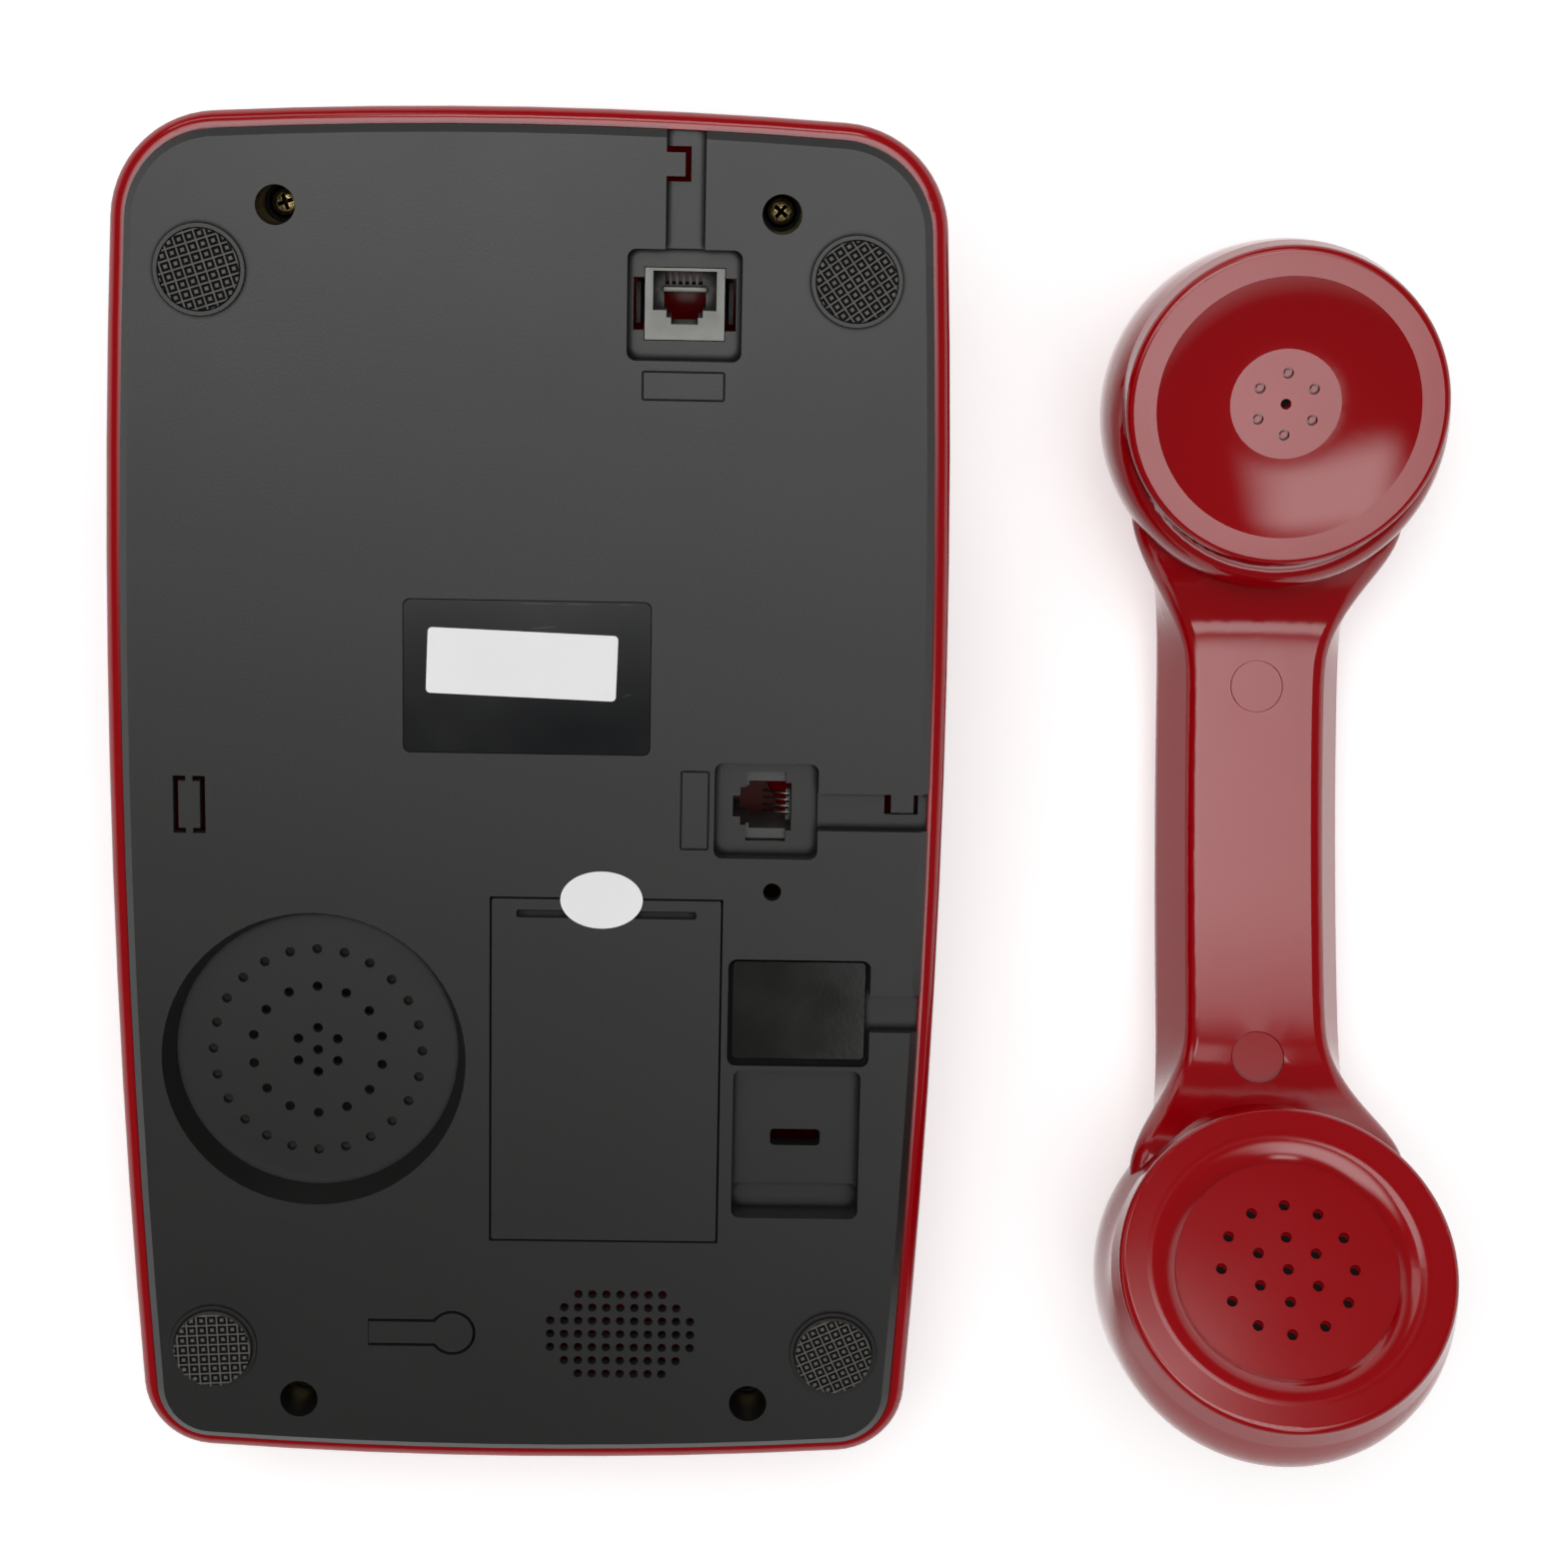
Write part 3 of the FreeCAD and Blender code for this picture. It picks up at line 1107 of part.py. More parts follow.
def make_dial():
    """The dial plate, its card and window, the keys, the key mat and the key board."""
    plate = rod(ZERO, S.dial_y, (ZERO - S.dial_thickness / 2, S.dial_thickness), S.dial_radius)
    through = (ZERO - OVERSHOOT, S.dial_thickness + OVERSHOOT)
    holes = [rod(x, y, through, S.key_radius + S.key_gap) for x, y in key_places()]
    holes.append(rod(ZERO, S.dial_y, (ZERO - OVERSHOOT, S.dial_thickness / 2), S.card_radius + S.fit_gap))
    keep(cut(plate, holes), "dial_plate", "front")
    card_low = S.dial_thickness / 2 - S.card_thickness
    keep(rod(ZERO, S.dial_y, (card_low, S.dial_thickness / 2), S.card_radius), "dial_card", "front")
    keep(rod(ZERO, S.dial_y, (card_low - S.window_thickness, card_low), S.card_radius), "dial_window",
         "front")

    crown = -S.dial_thickness / 2 - S.key_stand
    flange_low = S.shell_wall + S.flange_gap
    flange_high = flange_low + S.flange_thickness
    crown_radius = (S.key_radius * S.key_radius + S.key_dome * S.key_dome) / (2 * S.key_dome)
    profile = [
        (ZERO, flange_high),
        (ZERO, crown),
        (S.key_radius, crown + S.key_dome, crown_radius),
        (S.key_radius, flange_low),
        (S.key_radius + S.key_flange, flange_low),
        (S.key_radius + S.key_flange, flange_high),
    ]
    for name, (x, y) in zip(KEY_NAMES, key_places()):
        key = turned(name, profile)
        key.Placement = Placement(Vector(number(x), number(y), 0), Rotation())
        keep(key, name, "front")
    for name, side in (("redial_key", -1.0), ("flash_key", 1.0)):
        x = side * S.function_key_x
        stem = rounded_block(centred(x, S.function_key_width),
                             centred(S.function_key_y, S.function_key_height),
                             (-S.key_stand / 2, flange_high), S.recess_round)
        flange = block(centred(x, S.function_key_width + 2 * S.key_flange),
                       centred(S.function_key_y, S.function_key_height + 2 * S.key_flange),
                       (flange_low, flange_high))
        keep(fuse([stem, flange]), name, "front")

    low, high = mat_level(), mat_level() + S.mat_thickness
    tail_x = (-S.function_key_x - S.function_key_width / 2, S.function_key_x + S.function_key_width / 2)
    tail_y = (S.function_key_y - S.function_key_height, S.dial_y)
    mat = fuse([rod(ZERO, S.dial_y, (low, high), S.mat_radius), block(tail_x, tail_y, (low, high))])
    posts = [rod(x, y, (low - OVERSHOOT, high + OVERSHOOT), S.post_radius + S.fit_gap)
             for x, y in dial_post_places()]
    keep(cut(mat, posts), "key_mat", "front")
    low, high = key_board_level(), key_board_level() + S.board_thickness
    board = fuse([rod(ZERO, S.dial_y, (low, high), S.key_board_radius), block(tail_x, tail_y, (low, high))])
    keep(board, "key_board", "front")


def make_screws_and_feet():
    """Case screws with cross recesses, and the rubber feet."""
    screws = []
    seat = -S.bore_depth
    for x, y in SCREW_PLACES:
        head = rod(x, y, (seat, seat + S.screw_head_height), S.screw_head_radius)
        shank = rod(x, y, (seat - S.screw_length + OVERSHOOT, seat + OVERSHOOT / 2), S.screw_radius)
        slot_z = (seat + S.screw_head_height / 2, seat + 2 * S.screw_head_height)
        arm, blade = S.screw_head_radius * 1.3, S.screw_head_radius * 0.3
        slots = [block(centred(x, arm), centred(y, blade), slot_z),
                 block(centred(x, blade), centred(y, arm), slot_z)]
        screws.append(cut(fuse([head, shank]), slots))
    keep(gather(screws), "case_screws", "base")
    feet = []
    for step, (x, y) in enumerate(FOOT_PLACES):
        top = S.upper_foot_height if step < 2 else S.lower_foot_height
        feet.append(rod(x, y, (-S.foot_seat, top), S.foot_radius))
    keep(gather(feet), "rubber_feet", "base")


def make_labels():
    """The glossy film with the white label on it."""
    film = rounded_block(centred(ZERO, S.film_width - 2 * S.fit_gap),
                         centred(S.film_y, S.film_height - 2 * S.fit_gap),
                         (-S.film_thickness, ZERO), S.film_round)
    keep(film, "label_film", "base")
    label = rounded_block(centred(ZERO, S.label_width), centred(ZERO, S.label_height),
                          (ZERO, S.label_thickness), S.recess_round / 2)
    turn = Rotation(Vector(0, 0, 1), S.label_turn.value)
    keep(moved(label, Placement(Vector(S.label_x.value, S.label_y.value, 0), turn)), "white_label", "base")


def make_socket(name, x, y, width, height, opening, front, turn):
    """A telephone socket: its open body with snap arms, and its spring contacts."""
    back = front - S.socket_length
    top = (S.opening_height + S.latch_height) / 2
    body = block(centred(ZERO, width), centred(ZERO, height), (back, front))
    arms = []
    for side in (-1.0, 1.0):
        inner, outer = width / 2 + S.snap_arm, width / 2 + 2 * S.snap_arm
        x_far = (-outer, -inner) if side < 0 else (inner, outer)
        x_all = (-outer, -width / 2 + S.snap_arm) if side < 0 else (width / 2 - S.snap_arm, outer)
        arms.append(block(x_far, centred(ZERO, S.snap_height), (back + S.snap_arm, front - S.snap_arm)))
        arms.append(block(x_all, centred(ZERO, S.snap_height), (back, back + 2 * S.snap_arm)))
    tools = socket_opening(opening, (back - OVERSHOOT, front + OVERSHOOT))
    spot = Placement(Vector(number(x), number(y), 0), turn)
    keep(moved(cut(fuse([body] + arms), tools), spot), f"{name}_socket", "base")
    contacts = []
    for step in range(4):
        middle = (step - 1.5) * S.contact_pitch
        wire = S.contact_width
        rail = block(centred(middle, wire), (top - wire, top), (back, front - 3 * wire))
        finger = block(centred(middle, wire), (top - S.contact_reach, top),
                       (front - 4 * wire, front - 3 * wire))
        contacts.append(fuse([rail, finger]))
    keep(moved(gather(contacts), spot), f"{name}_contacts", "base")


def make_battery():
    """The door with its sticker, the cells and their contacts."""
    door_y = (S.door_top + S.door_bottom) / 2
    door_height = S.door_top - S.door_bottom
    door = rounded_block(centred(S.door_x, S.door_width), centred(door_y, door_height),
                         (-S.door_thickness, ZERO), S.door_gap)
    groove_y = S.door_top - S.groove_drop
    groove = rounded_block(centred(S.door_x, S.groove_width), centred(groove_y, S.groove_height),
                           (-S.groove_depth, ZERO + OVERSHOOT), S.groove_height / 3)
    keep(cut(door, [groove]), "battery_door", "base")
    sticker = doc.addObject("Part::Ellipse", "StickerEdge")
    bind(sticker, "MajorRadius", S.sticker_length / 2)
    bind(sticker, "MinorRadius", S.sticker_height / 2)
    solid = doc.addObject("Part::Extrusion", "Sticker")
    solid.Base = sticker
    solid.Dir = Vector(0, 0, 1)
    solid.Solid = True
    bind(solid, "LengthFwd", S.sticker_thickness)
    spot = Placement(Vector(S.sticker_x.value, S.door_top.value, 0), Rotation())
    keep(moved(solid, spot), "inspection_sticker", "base")

    cell_z = -S.well_depth + S.cell_radius + S.fit_gap
    low = door_y - S.cell_length / 2
    cells, contacts = [], []
    ledge_y = door_height / 2 - S.door_ledge
    plate = S.contact_width
    for step in range(3):
        x = S.door_x + (step - 1) * S.cell_pitch
        cell = doc.addObject("Part::Cylinder", "Cell")
        bind(cell, "Radius", S.cell_radius)
        bind(cell, "Height", S.cell_length)
        place(cell, x, low, cell_z, Rotation(Vector(1, 0, 0), -90))
        cells.append(cell)
        for end in (-1.0, 1.0):
            outer = door_y + end * ledge_y
            inner = door_y + end * (ledge_y - plate)
            y = (outer, inner) if end < 0 else (inner, outer)
            tab = block(centred(x, S.cell_radius * 1.6), y,
                        (-S.well_depth, -S.well_depth + 2 * S.cell_radius))
            nub = doc.addObject("Part::Cylinder", "Nub")
            bind(nub, "Radius", S.cell_radius / 2)
            bind(nub, "Height", ledge_y - S.cell_length / 2 - S.fit_gap)
            if end < 0:
                place(nub, x, outer, cell_z, Rotation(Vector(1, 0, 0), -90))
            else:
                place(nub, x, outer, cell_z, Rotation(Vector(1, 0, 0), 90))
            contacts.append(fuse([tab, nub]))
    keep(gather(cells), "battery_cells", "base")
    keep(gather(contacts), "battery_contacts", "base")


def make_speaker():
    """The ringer loudspeaker behind the round recess: basket, cone and magnet."""
    top = -S.round_depth - S.well_wall - S.fit_gap
    wall = S.cover_wall / 2
    neck = S.magnet_radius
    low = top - S.speaker_depth
    basket = turned("ringer_basket", [
        (S.speaker_radius, top),
        (S.speaker_radius, top - wall),
        (neck + wall, low),
        (ZERO + wall * 4, low),
        (ZERO + wall * 4, low + wall),
        (neck, low + wall),
        (S.speaker_radius - 3 * wall, top - wall),
        (S.speaker_radius - 3 * wall, top),
    ])
    basket.Placement = Placement(Vector(S.round_x.value, S.round_y.value, 0), Rotation())
    keep(basket, "ringer_basket", "base")
    edge = S.speaker_radius - 3 * wall - S.fit_gap
    cone = turned("ringer_cone", [
        (edge, top),
        (edge, top - wall / 2),
        (wall * 3, low + 2 * wall),
        (ZERO, low + 2 * wall),
        (ZERO, low + 3 * wall),
        (wall * 3, low + 3 * wall),
        (edge - wall, top),
    ])
    cone.Placement = Placement(Vector(S.round_x.value, S.round_y.value, 0), Rotation())
    keep(cone, "ringer_cone", "base")
    magnet = rod(S.round_x, S.round_y, (low - S.magnet_height, low), S.magnet_radius)
    keep(magnet, "ringer_magnet", "base")


def make_boards():
    """The main board with its components, and the little board under the press tongue."""
    low, high = -S.board_depth - S.board_thickness, -S.board_depth
    board = block((S.board_left, S.board_right), (S.board_low, S.board_high), (low, high))
    keep(board, "main_board", "base")
    cans = S.cell_radius
    middle_y = (S.board_low + S.board_high) / 2
    parts = [
        block(centred(S.board_left + 3 * cans, 3 * cans), centred(middle_y, 3 * cans),
              (low - 1.5 * cans, low)),
        block(centred(S.board_right - 3 * cans, 2 * cans), centred(middle_y, 3 * cans),
              (low - cans / 2, low)),
        rod(S.board_right - 6 * cans, middle_y + cans, (low - 1.5 * cans, low), cans * 0.8),
        rod(S.board_right - 6 * cans, middle_y - cans, (low - 1.5 * cans, low), cans * 0.8),
    ]
    keep(gather(parts), "board_components", "base")
    x = switch_middle()
    depth = switch_board_depth()
    base = block(centred(x, S.tongue_pad * 6), centred(S.tongue_y, S.tongue_pad * 3),
                 (-depth - S.board_thickness, -depth))
    can_top = -S.tongue_thickness - 2 * OVERSHOOT
    can = block(centred(x, S.tongue_pad * 1.8), centred(S.tongue_y, S.tongue_pad * 1.8), (-depth, can_top))
    stem = rod(x, S.tongue_y, (can_top, -S.tongue_thickness - 1.2 * OVERSHOOT), S.tongue_pad / 2)
    keep(base, "switch_board", "base")
    keep(fuse([can, stem]), "reset_switch", "base")


def make_small_pieces():
    """The blanking plate and the press tongue."""
    gap = 2 * S.blank_plate_gap
    plate = rounded_block(centred(S.blank_x, S.blank_width - gap), centred(S.blank_y, S.blank_height - gap),
                          (-S.channel_depth, -S.channel_depth + S.blank_plate_thickness), S.recess_round / 2)
    keep(plate, "blanking_plate", "base")
    low = -S.tongue_thickness
    arm = block((S.tongue_root + S.door_seat, S.tongue_tip), centred(S.tongue_y, S.tongue_width),
                (low, ZERO))
    tip = rod(S.tongue_tip, S.tongue_y, (low, ZERO), S.tongue_pad)
    keep(fuse([arm, tip]), "press_tongue", "base")


def make_hook():
    """The hook lever, its pin, spring and switch."""
    top = S.arm_shelf + S.lever_rise
    half = S.lever_width / 2
    hub = cross_rod((-half, half), S.pivot_y, -S.pivot_depth, S.hub_radius)
    arm = block((-half, half), (top - S.lever_thickness, top), (-S.lever_reach, -S.pivot_depth))
    neck = block((-half, half), (S.pivot_y, top),
                 (-S.pivot_depth - S.hub_radius, -S.pivot_depth + S.hub_radius))
    lever = fuse([hub, arm, neck])
    bore = cross_rod((-half - OVERSHOOT, half + OVERSHOOT), S.pivot_y, -S.pivot_depth,
                     S.pin_radius + S.pin_gap)

    def on_tip(edge):
        return edge.BoundBox.ZMax < -S.lever_reach.value + OVERSHOOT

    rounded = round_edges(lever, S.arm_round / 2, on_tip)
    spring_end = half + S.lever_gap - 2 * S.pin_gap
    spring_radius = S.pin_radius + S.fit_gap + S.spring_wall
    pocket = cross_rod((spring_end - S.spring_width - 2 * S.pin_gap, half + OVERSHOOT), S.pivot_y,
                       -S.pivot_depth, spring_radius + S.fit_gap)
    keep(cut(rounded, [bore, pocket]), "hook_lever", "base")
    reach = half + S.lever_gap + S.bracket_width
    keep(cross_rod((-reach, reach), S.pivot_y, -S.pivot_depth, S.pin_radius), "hook_pin", "base")
    coil = cross_rod((spring_end - S.spring_width, spring_end), S.pivot_y, -S.pivot_depth, spring_radius)
    core = cross_rod((half - 2 * S.spring_width, spring_end + OVERSHOOT), S.pivot_y, -S.pivot_depth,
                     S.pin_radius + S.fit_gap)
    keep(cut(coil, [core]), "hook_spring", "base")
    low = -switch_depth()
    housing = block(centred(ZERO, S.lever_width * 0.8), centred(switch_y(), S.lever_thickness * 1.6),
                    (low, low + 2 * S.hub_radius))
    keep(housing, "hook_switch", "base")


EAR_STEPS = (  # level as a share of the seam's, shift outwards, tilt in degrees, share of the widest radius
    (0.78, 0.0, 11.0, 1.0),
    (0.63, 1.1, 7.0, 0.975),
    (0.445, 1.4, 2.0, 0.89),
    (0.287, -0.6, 0.0, 0.74),
    (0.218, -2.6, 0.0, 0.54),
)
MOUTH_STEPS = (
    (0.78, 1.9, 13.6, 1.0),
    (0.63, 0.9, 9.7, 0.995),
    (0.445, 1.4, 2.0, 0.92),
    (0.287, -0.6, 0.0, 0.75),
    (0.218, -2.6, 0.0, 0.54),
)
HANDLE_STATIONS = (  # distance from the middle, widening of the inner face, of the waist, rise of the inner face
    (0.0, 0.0, 0.0, 0.0),
    (9.0, 0.0, 0.0, 0.0),
    (18.0, 0.0, 0.0, 0.0),
    (25.0, 0.0, 0.0, 0.0),
    (30.0, 0.1, 0.0, 0.0),
    (34.0, 0.6, 0.0, 0.1),
    (37.0, 1.7, 0.0, 0.4),
    (40.0, 3.5, 0.0, 1.2),
    (44.0, 6.6, 0.1, 3.4),
    (48.0, 9.8, 0.6, 6.6),
    (52.0, 12.0, 1.4, 8.6),
    (57.0, 12.8, 1.6, 9.0),
    (65.0, 10.6, 0.0, 7.6),
    (76.0, 3.0, -4.6, 4.0),
)


def bowl_sections(side):
    """Round sections of an earpiece (side 1) or mouthpiece (side -1), from the cap's seam down."""
    ear = side > 0
    seam = S.ear_seam_radius if ear else S.mouth_seam_radius
    widest = S.ear_bowl_radius if ear else S.mouth_bowl_radius
    tilt = S.ear_tilt.value if ear else S.mouth_tilt.value
    seam_y = S.face_spread + S.cap_height * math.sin(math.radians(tilt))
    seam_z = S.face_height - S.cap_height * math.cos(math.radians(tilt))
    sections = [(seam_y, seam_z, tilt, seam)]  # y, z, tilt in degrees, radius
    for level, shift, lean, share in EAR_STEPS if ear else MOUTH_STEPS:
        sections.append((seam_y + shift, seam_z * level, lean, widest * share))
    return sections


def bowl(name, side, inset):
    """The round bowl under a cap, or its hollow when an inset is given."""
    body = new_body(name)
    sections = bowl_sections(side)
    if number(inset) > 0:
        sections = sections[:-1]
    sketches = []
    for step, (y, z, tilt, radius) in enumerate(sections):
        turn = Rotation(Vector(1, 0, 0), side * tilt)
        last = step == len(sections) - 1
        lift = number(inset) if last else 0.0
        offset = Placement(Vector(0, side * number(y), number(z) + lift), turn)
        sketch = new_sketch(body, offset=offset)
        draw_circle(sketch, ZERO, ZERO, radius - inset)
        sketches.append(sketch)
    loft = body.newObject("PartDesign::AdditiveLoft", "Bowl")
    loft.Profile = sketches[0]
    loft.Sections = sketches[1:]
    body.Tip = loft
    return body


def rounded_corners(points, radius):
    """A convex outline with its corners rounded, for draw_profile."""
    places = [Vector(number(x), number(y), 0) for x, y in points]
    rounded = []
    for step, (x, y) in enumerate(points):
        corner, following = places[step], places[(step + 1) % len(places)]
        back = (places[step - 1] - corner).normalize()
        ahead = (following - corner).normalize()
        reach = number(radius) / math.tan(back.getAngle(ahead) / 2)
        rounded.append((x + back.x * reach, y + back.y * reach))
        rounded.append((x + ahead.x * reach, y + ahead.y * reach, radius))
    return rounded


def handle(name, inset):
    """The arched handle that flares into its two bowls, or its hollow when an inset is given."""
    body = new_body(name)
    sketches = []
    stations = [(-place, *sizes) for place, *sizes in reversed(HANDLE_STATIONS[1:])]
    for place, widening, waist_widening, rise in stations + list(HANDLE_STATIONS):
        half = S.handle_width / 2 + waist_widening - inset
        inner = S.handle_inner_width / 2 + widening - inset
        back = S.handle_back_width / 2 - inset
        half_square = ZERO + place * place / 2
        arch = half_square / S.back_radius
        inner_arch = half_square / (S.back_radius - S.handle_thickness)
        low, high = arch + inset, inner_arch + S.handle_thickness + rise - inset
        seam = arch + S.handle_seam
        points = [(back, low), (half, seam), (inner, high), (-inner, high), (-half, seam), (-back, low)]
        points = [(x + ZERO, z + ZERO) for x, z in points]
        sketch = new_sketch(body, "XZ_Plane", offset=Placement(Vector(0, 0, -place), Rotation()))
        draw_profile(sketch, points if number(inset) > 0 else rounded_corners(points, S.handle_round))
        sketches.append(sketch)
    loft = body.newObject("PartDesign::AdditiveLoft", "Arch")
    loft.Profile = sketches[0]
    loft.Sections = sketches[1:]
    body.Tip = loft
    return body


def arc_place(y, depth=ZERO):
    """Placement on the handle's arch: Z away from its back, where its inner face is at a given y."""
    inner_radius = S.back_radius.value - S.handle_thickness.value
    angle = math.degrees(math.asin(number(y) / inner_radius))
    centre = Vector(0, 0, S.back_radius.value)
    turn = Rotation(Vector(1, 0, 0), angle)
    return Placement(centre + turn.multVec(-centre), turn)


def cap_frame(side):
    """Frame of a cap: origin in the middle of its seam, Z out of its face."""
    y, z, tilt, _ = bowl_sections(side)[0]
    return Placement(Vector(0, side * number(y), number(z)), Rotation(Vector(1, 0, 0), side * tilt))


def make_handset():
    """The handset: two handle shells, two caps, capsules, screws, plugs, weight and socket."""
    wall = S.handset_wall
    outside = fuse([handle("handle_outside", ZERO), bowl("ear_outside", 1, ZERO),
                    bowl("mouth_outside", -1, ZERO)])
    inside = fuse([handle("handle_inside", wall), bowl("ear_inside", 1, wall),
                   bowl("mouth_inside", -1, wall)])
    posts, bores, screws, plugs = [], [], [], []
    face = S.handle_thickness
    head_seat = S.handle_seam
    for y in (S.ear_plug_y, S.mouth_plug_y):
        spot = arc_place(y)
        posts.append(moved(rod(ZERO, ZERO, (wall / 2, face - wall / 2), S.plug_radius + S.post_wall), spot))
        bores.append(moved(rod(ZERO, ZERO, (face - S.plug_thickness, face + 3 * OVERSHOOT),
                               S.plug_radius + S.fit_gap), spot))
        bores.append(moved(rod(ZERO, ZERO, (head_seat + wall, face), S.screw_head_radius + 2 * S.fit_gap),
                           spot))
        bores.append(moved(rod(ZERO, ZERO, (wall, face), S.screw_radius + S.thread_gap), spot))
        head = rod(ZERO, ZERO, (head_seat + wall, head_seat + wall + S.screw_head_height),
                   S.screw_head_radius)
        shank = rod(ZERO, ZERO, (wall + OVERSHOOT / 2, head_seat + wall + OVERSHOOT / 2), S.screw_radius)
        screws.append(moved(fuse([head, shank]), spot))
        plugs.append(moved(rod(ZERO, ZERO, (face - S.plug_thickness, face), S.plug_radius), spot))
    lowest_y, lowest_z, _, lowest_radius = bowl_sections(-1)[3]
    corner = math.hypot(number(lowest_radius - wall), S.cord_socket_width.value / 2)
    reach = 2 * number(lowest_radius - wall) - corner
    socket_front = -(lowest_y + reach) + S.socket_set_back
    socket_z = lowest_z + S.cord_socket_width / 2
    door = block(centred(ZERO, S.cord_opening + S.fit_gap), (socket_front - 4 * wall, socket_front),
                 centred(socket_z, S.opening_height + S.fit_gap))
    full = cut(cut(outside, [cut(inside, posts)]), bores + [door])
    split = cross_rod((ZERO - DEEP, ZERO + DEEP), ZERO, S.back_radius, S.back_radius - S.handle_seam)
    keep(common(full, split), "handset_inner_shell", "handset")
    split_again = cross_rod((ZERO - DEEP, ZERO + DEEP), ZERO, S.back_radius, S.back_radius - S.handle_seam)
    keep(cut(full, [split_again]), "handset_outer_shell", "handset")
    keep(gather(screws), "handset_screws", "handset")
    keep(gather(plugs), "screw_plugs", "handset")
    weight_y = (S.mouth_plug_y + 4 * wall, S.ear_plug_y - 4 * wall)
    arch_rise = weight_y[0] * weight_y[0] / (2 * (S.back_radius - wall))
    weight = block(centred(ZERO, S.weight_width), weight_y,
                   (wall + arch_rise + S.fit_gap, wall + arch_rise + S.fit_gap + S.weight_height))
    keep(weight, "ballast_weight", "handset")
    depth = S.socket_length
    body = block(centred(ZERO, S.cord_socket_width), (socket_front, socket_front + depth),
                 centred(socket_z, S.cord_socket_width))
    opening = block(centred(ZERO, S.cord_opening),
                    (socket_front - OVERSHOOT, socket_front + depth - 2 * OVERSHOOT),
                    centred(socket_z, S.opening_height))
    keep(cut(body, [opening]), "handset_cord_socket", "handset")
    make_caps()


def make_caps():
    """The ear cap, the mouth cap and the capsules behind them."""
    wall = S.cap_wall
    rim = S.cap_round
    high = S.cap_height
    dish = high - S.ear_dish_depth
    floor = dish - wall
    ear = turned("ear_cap_blank", [
        (S.ear_seam_radius, ZERO),
        (S.ear_face_radius, high - rim),
        (S.ear_face_radius - rim, high, rim),
        (S.ear_dish_radius, high),
        (S.ear_disc_radius, dish, -S.ear_dish_curve),
        (ZERO, dish),
        (ZERO, floor),
        (S.ear_disc_radius + wall / 2, floor),
        (S.ear_dish_radius, high - wall),
        (S.ear_seam_radius - wall, high - wall),
        (S.ear_seam_radius - wall, ZERO),
    ])
    holes = [rod(ZERO, ZERO, (floor - OVERSHOOT, high), S.cap_hole)]
    pin_top = dish - S.dimple_depth / 4
    for x, y in ring_places(ZERO, ZERO, S.ear_hole_ring, 6):
        dimple = rod(x, y, (dish - S.dimple_depth, high), S.dimple_radius)
        pin = rod(x, y, (dish - 2 * S.dimple_depth, pin_top), S.dimple_pin_radius)
        holes.append(cut(dimple, [pin]))
    keep(moved(cut(ear, holes), cap_frame(1)), "ear_cap", "handset")

    disc = high - S.mouth_disc_depth
    under = disc - wall
    mouth = turned("mouth_cap_blank", [
        (S.mouth_seam_radius, ZERO),
        (S.mouth_face_radius, high - rim),
        (S.mouth_face_radius - rim, high, rim),
        (S.mouth_crest_radius, high),
        (S.mouth_disc_radius, disc, S.mouth_crest_curve),
        (ZERO, disc),
        (ZERO, under),
        (S.mouth_disc_radius + wall / 2, under),
        (S.mouth_crest_radius, high - wall),
        (S.mouth_seam_radius - wall, high - wall),
        (S.mouth_seam_radius - wall, ZERO),
    ])
    span = (under - OVERSHOOT, high)
    places = [(ZERO, ZERO)] + ring_places(ZERO, ZERO, S.mouth_outer_ring, 12)
    places += ring_places(ZERO, ZERO, S.mouth_inner_ring, 6)
    holes = [rod(x, y, span, S.cap_hole) for x, y in places]
    keep(moved(cut(mouth, holes), cap_frame(-1)), "mouth_cap", "handset")

    top = floor - S.capsule_gap
    receiver = rod(ZERO, ZERO, (top - S.receiver_height, top), S.receiver_radius)
    keep(moved(receiver, cap_frame(1)), "receiver_capsule", "handset")
    top = under - S.capsule_gap
    microphone = rod(ZERO, ZERO, (top - S.microphone_height, top), S.microphone_radius)
    keep(moved(microphone, cap_frame(-1)), "microphone_capsule", "handset")


def lowest(item, angle):
    """Lowest point of an object when the base frame is tipped by an angle about X."""
    shape = item.Shape.copy()
    shape.rotate(Vector(), Vector(1, 0, 0), angle)
    return shape.optimalBoundingBox(True, False).ZMin


def resting_angle(shell, arms):
    """Tip of the base at which its lower front edge and its arms both touch the table."""
    low, high = 0.0, 30.0
    for _ in range(24):
        middle = (low + high) / 2
        if lowest(shell, middle) > lowest(arms, middle):
            low = middle
        else:
            high = middle
    return (low + high) / 2


